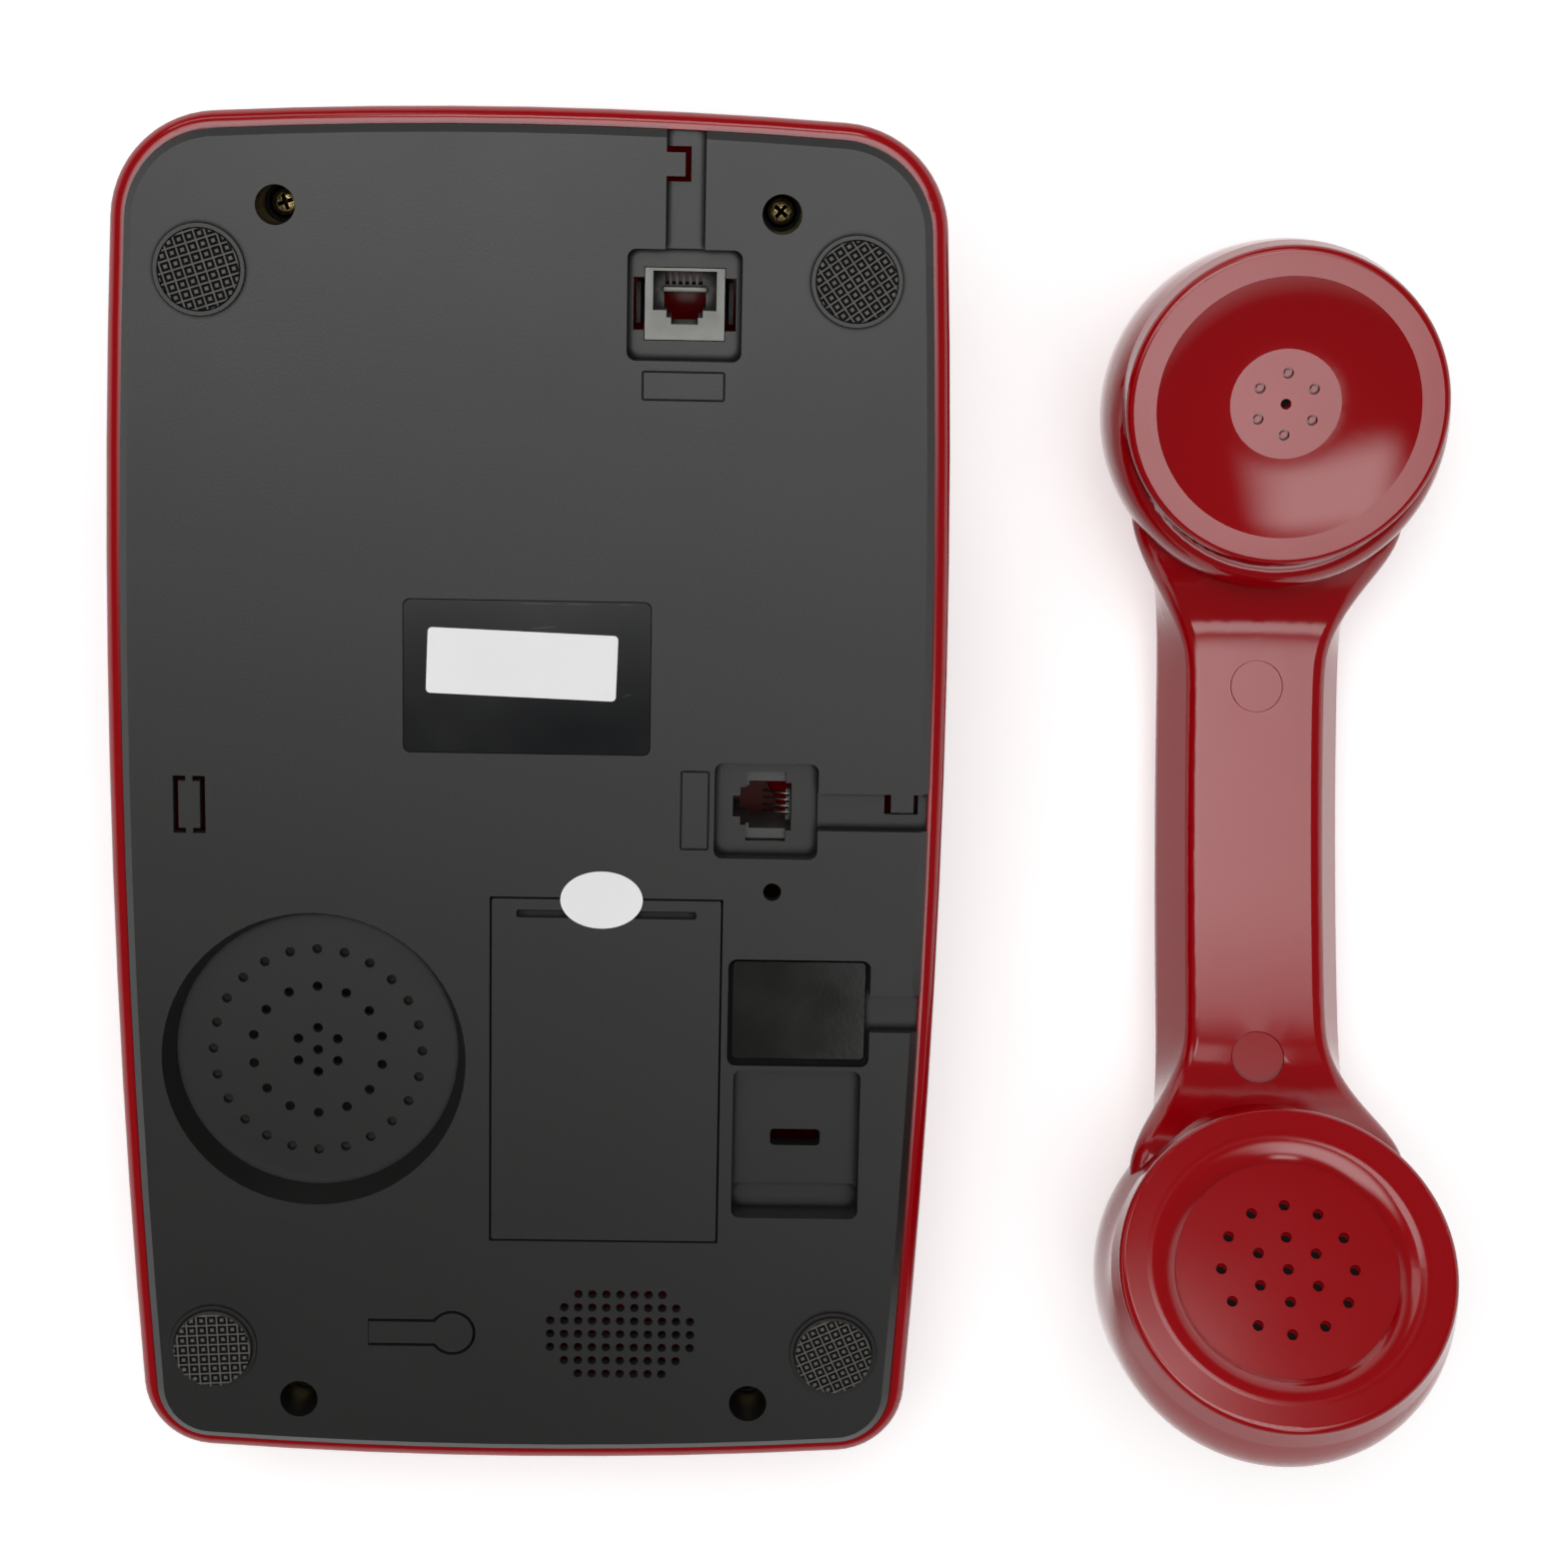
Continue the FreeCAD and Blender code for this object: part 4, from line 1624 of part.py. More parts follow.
def place_groups(shell, arms):
    """Tip the base on to its arms, lay the handset beside it and centre the pair on the origin."""
    doc.recompute()
    angle = resting_angle(shell, arms)
    base = Placement(Vector(0, 0, 0), Rotation(Vector(1, 0, 0), angle))
    pitch = Rotation(Vector(1, 0, 0), -S.handset_pitch.value)
    handset = Placement(Vector(S.handset_x.value, S.handset_y.value, 0), pitch)
    frames = {"base": base, "front": base.multiply(FRONT_FRAME), "handset": handset}
    boxes = {"base": FreeCAD.BoundBox(), "handset": FreeCAD.BoundBox()}
    for item, label, group in nodes:
        shape = item.Shape.copy()
        shape.Placement = frames[group].multiply(shape.Placement)
        boxes["handset" if group == "handset" else "base"].add(shape.optimalBoundingBox(True, False))
    both = FreeCAD.BoundBox(boxes["base"])
    both.add(boxes["handset"])
    middle = Vector((both.XMin + both.XMax) / 2, (both.YMin + both.YMax) / 2, 0)
    base_shift = Placement(Vector(0, 0, -boxes["base"].ZMin) - middle, Rotation())
    handset_shift = Placement(Vector(0, 0, -boxes["handset"].ZMin) - middle, Rotation())
    frames["base"] = base_shift.multiply(frames["base"])
    frames["front"] = base_shift.multiply(frames["front"])
    frames["handset"] = handset_shift.multiply(frames["handset"])
    for item, label, group in nodes:
        item.Placement = frames[group].multiply(item.Placement)
    doc.recompute()
    for name, frame in frames.items():
        place, turn = frame.Base, frame.Rotation
        print(f"{name} frame at {place.x:.4f} {place.y:.4f} {place.z:.4f}, turned {math.degrees(turn.Angle):.4f}"
              f" about {turn.Axis.x:.5f} {turn.Axis.y:.5f} {turn.Axis.z:.5f}")


def check_and_write():
    """Stop if anything failed to build, then write one file for each piece."""
    failed = [item.Label for item in doc.Objects if "Invalid" in item.State or "Error" in item.State]
    if failed:
        raise RuntimeError(f"objects that failed: {failed}")
    for item, label, group in nodes:
        if item.Shape.isNull() or not item.Shape.isValid() or not item.Shape.Solids:
            raise RuntimeError(f"{label} has no valid solid")
    os.makedirs("parts", exist_ok=True)
    for item, label, group in nodes:
        item.Shape.exportStep(f"parts/{label}.step")
    print(f"{len(nodes)} pieces written")


make_back_cover()
shell_outside, cradle_arms = make_front_shell()
make_dial()
make_screws_and_feet()
make_labels()
make_socket("line", S.line_x, S.line_y, S.line_socket_width, S.line_socket_height, S.line_opening,
            -S.recess_depth, Rotation())
make_socket("cord", S.cord_x, S.cord_y, S.cord_socket_width, S.cord_socket_width, S.cord_opening,
            -S.recess_depth - S.well_wall, CORD_TURN)
make_battery()
make_speaker()
make_boards()
make_small_pieces()
make_hook()
make_handset()
place_groups(shell_outside, cradle_arms)
check_and_write()
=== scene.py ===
"""Slimline wall telephone lying face down beside its handset, dressed round its CAD model."""

from __future__ import annotations

import logging
import math
from collections.abc import Callable, Iterator
from contextlib import contextmanager
from dataclasses import dataclass, field
from enum import Enum

import bmesh
import bpy
from mathutils import Euler, Matrix, Quaternion, Vector

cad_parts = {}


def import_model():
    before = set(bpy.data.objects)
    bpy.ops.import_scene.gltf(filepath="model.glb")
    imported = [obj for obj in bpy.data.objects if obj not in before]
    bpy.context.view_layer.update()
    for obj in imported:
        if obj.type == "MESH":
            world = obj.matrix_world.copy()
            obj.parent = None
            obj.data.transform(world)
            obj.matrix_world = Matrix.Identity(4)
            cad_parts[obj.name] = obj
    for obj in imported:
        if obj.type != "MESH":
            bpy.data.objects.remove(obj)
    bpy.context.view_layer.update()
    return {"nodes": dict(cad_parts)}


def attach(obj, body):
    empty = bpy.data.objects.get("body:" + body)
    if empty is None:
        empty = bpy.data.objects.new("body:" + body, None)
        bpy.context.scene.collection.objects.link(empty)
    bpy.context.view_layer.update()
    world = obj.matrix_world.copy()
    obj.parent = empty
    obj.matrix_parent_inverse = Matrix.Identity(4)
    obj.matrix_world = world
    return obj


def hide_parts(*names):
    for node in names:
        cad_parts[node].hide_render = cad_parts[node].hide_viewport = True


LOG = logging.getLogger("wall_telephone")
MM = 0.001
WHITE = (1.0, 1.0, 1.0, 1.0)
# A face counts as level when its normal's height is more than this.
LEVEL = 0.9
# Where the mix node keeps its two numbers, its two colours and the mixed colour.
NUMBER_A, NUMBER_B, COLOUR_A, COLOUR_B, COLOUR_RESULT = 2, 3, 6, 7, 2

Tree = bpy.types.NodeTree
Node = bpy.types.Node
Socket = bpy.types.NodeSocket
Piece = bpy.types.Object
Span = tuple[float, float]
Xyz = tuple[float, float, float]
Opening = tuple[float, float, float, float]


# ---------------------------------------------------------------- frames


def turned(degrees: float, axis: str = "Z") -> Matrix:
    """Turns about one axis.

    Args:
        degrees: How far it turns.
        axis: X, Y or Z.

    Returns:
        The matrix of the turn.
    """
    return Matrix.Rotation(math.radians(degrees), 4, axis)


@dataclass(frozen=True)
class Frame:
    """A place on the telephone: its origin in millimetres and its turn about an axis in degrees."""

    origin: Xyz
    axis: Xyz = (0.0, 0.0, 1.0)
    turn: float = 0.0

    def matrix(self) -> Matrix:
        """Works out where the frame stands.

        Returns:
            The matrix that carries this frame's metres to the shared frame's metres.
        """
        spin = Quaternion(Vector(self.axis), math.radians(self.turn)).to_matrix().to_4x4()
        return Matrix.Translation(Vector(self.origin) * MM) @ spin

    def at(self, x: float, y: float, z: float, turn: float = 0.0) -> Matrix:
        """Returns the matrix of a spot in this frame.

        Args:
            x: Millimetres along the frame's X axis.
            y: Millimetres along the frame's Y axis.
            z: Millimetres along the frame's Z axis.
            turn: Degrees about the frame's Z axis.

        Returns:
            The matrix that carries a piece made at the origin to that spot.
        """
        return self.matrix() @ Matrix.Translation(Vector((x, y, z)) * MM) @ turned(turn)


# The back cover's outer face and the front shell's face below it; Z points up in both.
BASE = Frame((-42.9024, -2.2802, 61.6489), (1.0, 0.0, 0.0), 12.3577)
FRONT = Frame((-42.9024, 5.2745, 27.1668), (1.0, 0.0, 0.0), 15.8577)


# -------------------------------------------------------------- finishes


def linear(colour: str) -> tuple[float, ...]:
    """Turns an sRGB colour into a linear one.

    Args:
        colour: Six hex digits after a hash.

    Returns:
        Linear red, green and blue, and an alpha of one.
    """
    parts = [int(colour[place : place + 2], 16) / 255.0 for place in (1, 3, 5)]
    values = [v / 12.92 if v <= 0.04045 else ((v + 0.055) / 1.055) ** 2.4 for v in parts]
    return (values[0], values[1], values[2], 1.0)


def add_node(tree: Tree, kind: str, inputs: dict | None = None, **settings: object) -> Node:
    """Adds one node to a tree with its settings and links.

    Args:
        tree: The node tree.
        kind: Blender's name of the node type.
        inputs: A value, or the output socket to link from, for each input by name or number.
        **settings: Attributes of the node.

    Returns:
        The new node.
    """
    node = tree.nodes.new(kind)
    for key, value in settings.items():
        setattr(node, key, value)
    for key, value in (inputs or {}).items():
        if isinstance(value, Socket):
            tree.links.new(value, node.inputs[key])
        else:
            node.inputs[key].default_value = value
    return node


def ranged(
    tree: Tree, value: Socket, span: Span, result: Span = (0.0, 1.0), **settings: object
) -> Socket:
    """Maps a value from one span to another and holds it at the ends.

    Args:
        tree: The node tree.
        value: The value.
        span: Where the value starts and ends.
        result: What comes out at the two ends.
        **settings: Attributes of the node.

    Returns:
        The mapped value.
    """
    names = ("From Min", "From Max", "To Min", "To Max")
    inputs = {"Value": value, **dict(zip(names, (*span, *result)))}
    return add_node(tree, "ShaderNodeMapRange", inputs, **settings).outputs["Result"]


def blended(tree: Tree, factor: Socket, first: object, second: object) -> Socket:
    """Mixes two colours.

    Args:
        tree: The node tree.
        factor: How much of the second colour is taken.
        first: The first colour, or the socket it comes from.
        second: The second colour, or the socket it comes from.

    Returns:
        The mixed colour.
    """
    inputs = {"Factor": factor, COLOUR_A: first, COLOUR_B: second}
    return add_node(tree, "ShaderNodeMix", inputs, data_type="RGBA").outputs[COLOUR_RESULT]


def joined(tree: Tree, operation: str, first: Socket | float, second: Socket) -> Socket:
    """Joins two numbers by an operation.

    Args:
        tree: The node tree.
        operation: Blender's name of the operation.
        first: The first number.
        second: The second number.

    Returns:
        The result.
    """
    return add_node(tree, "ShaderNodeMath", {0: first, 1: second}, operation=operation).outputs[0]


def noise(tree: Tree, spot: Socket, size_mm: float, detail: float = 2.0) -> Socket:
    """Adds a cloudy pattern.

    Args:
        tree: The node tree.
        spot: The coordinates of the surface.
        size_mm: The size of its clouds.
        detail: How many finer layers it has.

    Returns:
        Its value, about one half on average.
    """
    inputs = {"Vector": spot, "Scale": 1.0 / (size_mm * MM), "Detail": detail}
    return add_node(tree, "ShaderNodeTexNoise", inputs).outputs["Fac"]


def open_sky(tree: Tree, reach_mm: float, samples: int) -> Socket:
    """Measures how open the surroundings of a spot are.

    Args:
        tree: The node tree.
        reach_mm: How far it looks.
        samples: Rays that it takes.

    Returns:
        One where nothing is near, and less in corners and hollows.
    """
    inputs = {"Distance": reach_mm * MM}
    return add_node(tree, "ShaderNodeAmbientOcclusion", inputs, samples=samples).outputs["AO"]


# The part of a noise texture's range that its values mostly fill.
CLOUD_SPAN = (0.3, 0.7)


@dataclass(frozen=True)
class Finish:
    """A moulded or formed material with a cloudy colour and a fine grain."""

    name: str
    colour: str
    cloud_colour: str
    roughness: float
    roughness_spread: float = 0.05
    ior: float = 1.5
    metallic: float = 0.0
    cloud_mm: float = 14.0
    grain_mm: float = 0.5
    grain_depth_mm: float = 0.004
    coat: float = 0.0
    transmission: float = 0.0
    specular: float = 0.5

    def material(self) -> bpy.types.Material:
        """Makes the material on its first use.

        Returns:
            The material.
        """
        ready = bpy.data.materials.get(self.name)
        if ready:
            return ready
        material = bpy.data.materials.new(self.name)
        material.use_nodes = True
        tree = material.node_tree
        shader = tree.nodes["Principled BSDF"]
        shader.inputs["IOR"].default_value = self.ior
        shader.inputs["Metallic"].default_value = self.metallic
        shader.inputs["Specular IOR Level"].default_value = self.specular
        shader.inputs["Coat Weight"].default_value = self.coat
        shader.inputs["Transmission Weight"].default_value = self.transmission
        spot = add_node(tree, "ShaderNodeTexCoord").outputs["Object"]
        self.colouring(tree, shader, spot)
        self.relief(tree, shader, spot)
        return material

    def colouring(self, tree: Tree, shader: Node, spot: Socket) -> None:
        """Lets colour and gloss drift softly over the surface, as handled plastic does.

        Args:
            tree: The material's node tree.
            shader: Its Principled shader.
            spot: The coordinates of the surface.
        """
        cloud = noise(tree, spot, self.cloud_mm, detail=4.0)
        colour = blended(tree, cloud, linear(self.colour), linear(self.cloud_colour))
        tree.links.new(colour, shader.inputs["Base Color"])
        limits = (self.roughness - self.roughness_spread, self.roughness + self.roughness_spread)
        gloss = ranged(tree, cloud, CLOUD_SPAN, limits)
        tree.links.new(gloss, shader.inputs["Roughness"])

    def relief(self, tree: Tree, shader: Node, spot: Socket) -> None:
        """Gives the surface its grain.

        Args:
            tree: The material's node tree.
            shader: Its Principled shader.
            spot: The coordinates of the surface.
        """
        grain = noise(tree, spot, self.grain_mm)
        bump = add_node(
            tree, "ShaderNodeBump", {"Height": grain, "Distance": self.grain_depth_mm * MM}
        )
        tree.links.new(bump.outputs["Normal"], shader.inputs["Normal"])


@dataclass(frozen=True)
class CreasedFinish(Finish):
    """A material with painted shade darkening its inner corners, which are also made rough."""

    # The colour of the painted shade, how far it looks for closed-in surroundings, and the span
    # over which it fades.
    crease_shade_colour: str = "#060606"
    crease_mm: float = 1.5
    crease_span: Span = (0.52, 0.86)
    samples: int = 8

    def colouring(self, tree: Tree, shader: Node, spot: Socket) -> None:
        """Paints shade into the inner corners of recesses and slots, and makes them rough.

        Args:
            tree: The material's node tree.
            shader: Its Principled shader.
            spot: The coordinates of the surface.
        """
        super().colouring(tree, shader, spot)
        base = shader.inputs["Base Color"].links[0].from_socket
        # Painted shade: the colour darkens to the crease shade colour where the surroundings are
        # closed in.
        unshaded = ranged(tree, open_sky(tree, self.crease_mm, self.samples), self.crease_span)
        crease_shaded = blended(tree, unshaded, linear(self.crease_shade_colour), base)
        tree.links.new(crease_shaded, shader.inputs["Base Color"])
        gloss = shader.inputs["Roughness"].links[0].from_socket
        dulled = add_node(tree, "ShaderNodeMix", {"Factor": unshaded, NUMBER_A: 1.0, NUMBER_B: gloss})
        tree.links.new(dulled.outputs[0], shader.inputs["Roughness"])


@dataclass(frozen=True)
class ShellFinish(Finish):
    """A moulded shell with painted shade in its fine creases, and a painted red glow on its
    closed-in side in place of light let through the thin wall.
    """

    # The colour, reach and span of the painted glow, an emission where the surface is closed in.
    painted_glow_colour: str = "#6A0008"
    painted_glow_reach_mm: float = 30.0
    painted_glow_span: Span = (0.04, 0.22)
    # The colour, reach and span of the painted shade in fine creases.
    crease_shade_colour: str = "#2E0003"
    crease_mm: float = 1.0
    crease_span: Span = (0.4, 0.9)
    samples: int = 6

    def colouring(self, tree: Tree, shader: Node, spot: Socket) -> None:
        """Paints shade into fine creases, and paints a red glow by emission where the surface is
        closed in.

        Args:
            tree: The material's node tree.
            shader: Its Principled shader.
            spot: The coordinates of the surface.
        """
        super().colouring(tree, shader, spot)
        base = shader.inputs["Base Color"].links[0].from_socket
        # Painted shade in fine creases.
        unshaded = ranged(tree, open_sky(tree, self.crease_mm, self.samples), self.crease_span)
        crease_shaded = blended(tree, unshaded, linear(self.crease_shade_colour), base)
        tree.links.new(crease_shaded, shader.inputs["Base Color"])
        # Painted glow: red emission where the surroundings are closed in.
        hollow = open_sky(tree, self.painted_glow_reach_mm, self.samples)
        enclosed = ranged(tree, hollow, self.painted_glow_span, (1.0, 0.0))
        shader.inputs["Emission Color"].default_value = linear(self.painted_glow_colour)
        tree.links.new(enclosed, shader.inputs["Emission Strength"])


@dataclass(frozen=True)
class BrushedFinish(Finish):
    """A metal with fine lines along one axis."""

    lines: Xyz = (1.0, 12.0, 12.0)

    def relief(self, tree: Tree, shader: Node, spot: Socket) -> None:
        """Draws the grain out into lines.

        Args:
            tree: The material's node tree.
            shader: Its Principled shader.
            spot: The coordinates of the surface.
        """
        drawn = add_node(tree, "ShaderNodeMapping", {"Vector": spot, "Scale": self.lines})
        super().relief(tree, shader, drawn.outputs["Vector"])


@dataclass(frozen=True)
class ScratchedFinish(Finish):
    """A glossy film with a few hairline scratches."""

    scratch_colour: str = "#4A4D4F"
    scratch_mm: float = 7.0
    scratch_width: float = 0.012
    slant: float = 38.0
    stretch: float = 0.16
    patch_mm: float = 9.0
    patch_span: Span = (0.58, 0.66)

    def colouring(self, tree: Tree, shader: Node, spot: Socket) -> None:
        """Lays pale slanting hairlines over the film.

        Args:
            tree: The material's node tree.
            shader: Its Principled shader.
            spot: The coordinates of the surface.
        """
        super().colouring(tree, shader, spot)
        base = shader.inputs["Base Color"].links[0].from_socket
        turn = (0.0, 0.0, math.radians(self.slant))
        inputs = {"Vector": spot, "Rotation": turn, "Scale": (self.stretch, 1.0, 1.0)}
        slanted = add_node(tree, "ShaderNodeMapping", inputs).outputs["Vector"]
        inputs = {"Vector": slanted, "Scale": 1.0 / (self.scratch_mm * MM)}
        cells = add_node(tree, "ShaderNodeTexVoronoi", inputs, feature="DISTANCE_TO_EDGE")
        hair = ranged(tree, cells.outputs["Distance"], (0.0, self.scratch_width), (1.0, 0.0))
        some = ranged(tree, noise(tree, spot, self.patch_mm), self.patch_span)
        faint = joined(tree, "MULTIPLY", hair, some)
        scratched = blended(tree, faint, base, linear(self.scratch_colour))
        tree.links.new(scratched, shader.inputs["Base Color"])


class Finishes(Enum):
    """Every finish of the telephone.

    The numbers after the two colours are roughness, its spread, index of refraction, metallic,
    size of the clouds, size of the grain and its depth, the last three in millimetres.
    """

    # Charcoal ABS from a spark-eroded mould: an even satin surface without hard highlights, with
    # painted shade in its inner corners.
    TEXTURED_ABS = CreasedFinish(
        "textured charcoal ABS",
        "#1B1B1A",
        "#181817",
        0.38,
        0.015,
        ior=1.53,
        cloud_mm=30.0,
        grain_mm=0.4,
        grain_depth_mm=0.012,
        specular=0.42,
    )
    # Deep red ABS from a polished mould: clear reflections with a trace of orange peel, painted
    # shade in its creases and a painted red glow where it is closed in.
    POLISHED_ABS = ShellFinish(
        "polished red ABS", "#9A000A", "#920008", 0.11, 0.02, 1.54, 0.0, 26.0, 2.4, 0.001
    )
    # Moulded rubber: dull with a soft grain, its pits darkened by painted shade.
    RUBBER = CreasedFinish(
        "moulded foot rubber",
        "#5A5650",
        "#4A4742",
        0.6,
        0.06,
        cloud_mm=1.6,
        grain_mm=0.3,
        grain_depth_mm=0.02,
        crease_mm=1.1,
    )
    # Steel with yellow zinc plating: a warm metal with small bright glints, and painted shade in
    # its cross recess.
    ZINC = CreasedFinish(
        "yellow zinc plated steel",
        "#C2AC74",
        "#7C6E4A",
        0.15,
        0.06,
        metallic=1.0,
        cloud_mm=0.9,
        grain_mm=0.5,
        grain_depth_mm=0.07,
        crease_shade_colour="#0A0805",
        crease_mm=1.2,
    )
    # Bare polyester film, glossy black with hairline scratches.
    FILM = ScratchedFinish(
        "black polyester film", "#0E1012", "#0B0C0E", 0.11, 0.03, 1.6, 0.0, 18.0, 6.0, 0.002
    )
    # Clay coated label paper, printed white.
    PAPER = Finish(
        "coated label paper", "#F3F2F3", "#ECEBEC", 0.5, 0.04, 1.5, 0.0, 12.0, 0.25, 0.003
    )
    # Light grey nylon of the line socket: slightly waxy, with painted shade in its mouth and slots.
    PALE_NYLON = CreasedFinish(
        "light grey nylon",
        "#7A7B74",
        "#6D6E68",
        0.36,
        0.05,
        ior=1.53,
        cloud_mm=3.0,
        grain_mm=0.4,
        crease_shade_colour="#1E1E1C",
        crease_mm=3.0,
    )
    # The blanking plate: charcoal ABS from a polished mould, darker than the textured cover.
    SMOOTH_ABS = Finish(
        "smooth charcoal ABS", "#161614", "#131311", 0.13, 0.03, 1.53, 0.0, 9.0, 0.8, 0.004
    )
    # Dark grey nylon of the handset sockets.
    DARK_NYLON = Finish(
        "dark grey nylon", "#3A3A38", "#2E2E2C", 0.38, 0.05, 1.53, 0.0, 3.0, 0.4, 0.004
    )
    # Phosphor bronze wire with a flash of gold.
    GILT_WIRE = BrushedFinish(
        "gilt phosphor bronze wire", "#C8A868", "#A98B55", 0.3, 0.05, 1.5, 1.0, 2.0, 0.2, 0.004
    )
    # Printed shrink sleeve of a battery cell.
    CELL = Finish("shrink sleeve", "#2E4A36", "#253D2E", 0.3, 0.05, 1.5, 0.0, 8.0, 1.5, 0.01)
    # Nickel plated spring steel.
    SPRING = BrushedFinish(
        "nickel plated spring steel", "#C6C6C4", "#AFAFAC", 0.26, 0.06, 1.5, 1.0, 3.0, 0.2, 0.004
    )
    # Glass fibre laminate under green solder mask.
    LAMINATE = Finish(
        "solder masked laminate", "#1E5B38", "#174A2D", 0.34, 0.04, 1.5, 0.0, 2.5, 0.6, 0.012
    )
    # Phenolic paper board: reddish brown and faintly fibrous.
    PHENOLIC = Finish(
        "phenolic paper board", "#6A1E10", "#5A170C", 0.5, 0.05, 1.5, 0.0, 3.0, 0.5, 0.01
    )
    # Acoustic cloth over the capsules: black and dull.
    CAPSULE_CLOTH = Finish(
        "black acoustic cloth", "#090909", "#0E0E0E", 0.9, 0.03, 1.4, 0.0, 1.2, 0.25, 0.03
    )
    # White print of the keys.
    KEY_PRINT = Finish(
        "white key print", "#E4E4E0", "#DADAD6", 0.45, 0.04, 1.5, 0.0, 2.0, 0.2, 0.002
    )
    # Black moulding compound of switches and chips.
    COMPOUND = Finish(
        "black moulding compound", "#1B1B1B", "#242423", 0.6, 0.05, 1.5, 0.0, 2.0, 0.2, 0.008
    )
    # Pressed steel with black enamel.
    ENAMEL = Finish(
        "black enamelled steel", "#191919", "#222222", 0.3, 0.05, 1.5, 0.0, 9.0, 1.2, 0.006
    )
    # Pressed paper pulp of the loudspeaker cone: matt and fibrous.
    PULP = Finish(
        "pressed paper pulp", "#262422", "#33302D", 0.85, 0.05, 1.45, 0.0, 1.5, 0.35, 0.03
    )
    # Sintered ferrite and grey iron.
    FERRITE = Finish("sintered ferrite", "#4A4A4C", "#3C3C3E", 0.55, 0.06, 1.5, 0.4, 3.0, 0.3, 0.02)
    # Spun aluminium of the dial plate, with fine lines across it.
    DIAL = BrushedFinish(
        "brushed aluminium", "#C9CACB", "#B8B9BA", 0.3, 0.05, 1.5, 1.0, 16.0, 0.35, 0.006
    )
    # Clear polycarbonate of the card window.
    WINDOW = Finish(
        "clear polycarbonate",
        "#F4F6F6",
        "#EEF1F1",
        0.06,
        0.02,
        ior=1.58,
        cloud_mm=20.0,
        grain_mm=4.0,
        grain_depth_mm=0.001,
        transmission=1.0,
    )
    # Silicone rubber of the key mat.
    SILICONE = Finish(
        "silicone rubber", "#8D8F90", "#838586", 0.6, 0.05, 1.42, 0.0, 5.0, 0.5, 0.006
    )
    # Black key caps from a polished mould.
    KEY_ABS = Finish(
        "polished black ABS", "#141414", "#1A1A1A", 0.18, 0.04, 1.54, 0.0, 9.0, 1.2, 0.003
    )


# ---------------------------------------------------------------- studio


@dataclass(frozen=True)
class Softbox:
    """A soft lamp over the table, whose cloth fades towards its edges."""

    name: str
    place: Xyz
    size: Span
    watts: float
    fade: float = 0.2

    def build(self) -> None:
        """Hangs the lamp and turns it to the middle of the table."""
        lamp = bpy.data.lights.new(self.name, "AREA")
        lamp.shape = "RECTANGLE"
        lamp.size, lamp.size_y = self.size
        lamp.energy = self.watts
        lamp.use_nodes = True
        self.faded(lamp.node_tree)
        holder = bpy.data.objects.new(self.name, lamp)
        bpy.context.scene.collection.objects.link(holder)
        away = Vector(self.place).normalized()
        across = (Vector((1.0, 0.0, 0.0)) - away * away.x).normalized()
        axes = Matrix((across, away.cross(across), away)).transposed()
        holder.location = self.place
        holder.rotation_euler = axes.to_euler()

    def faded(self, tree: Tree) -> None:
        """Lets the lamp's strength fall softly towards its four edges.

        Args:
            tree: The lamp's node tree.
        """
        cloth = add_node(tree, "ShaderNodeNewGeometry").outputs["Parametric"]
        along = add_node(tree, "ShaderNodeSeparateXYZ", {"Vector": cloth}).outputs
        falls = []
        for axis in ("X", "Y"):
            edge = joined(tree, "MINIMUM", along[axis], joined(tree, "SUBTRACT", 1.0, along[axis]))
            falls.append(ranged(tree, edge, (0.0, self.fade), interpolation_type="SMOOTHSTEP"))
        tree.links.new(joined(tree, "MULTIPLY", *falls), tree.nodes["Emission"].inputs["Strength"])


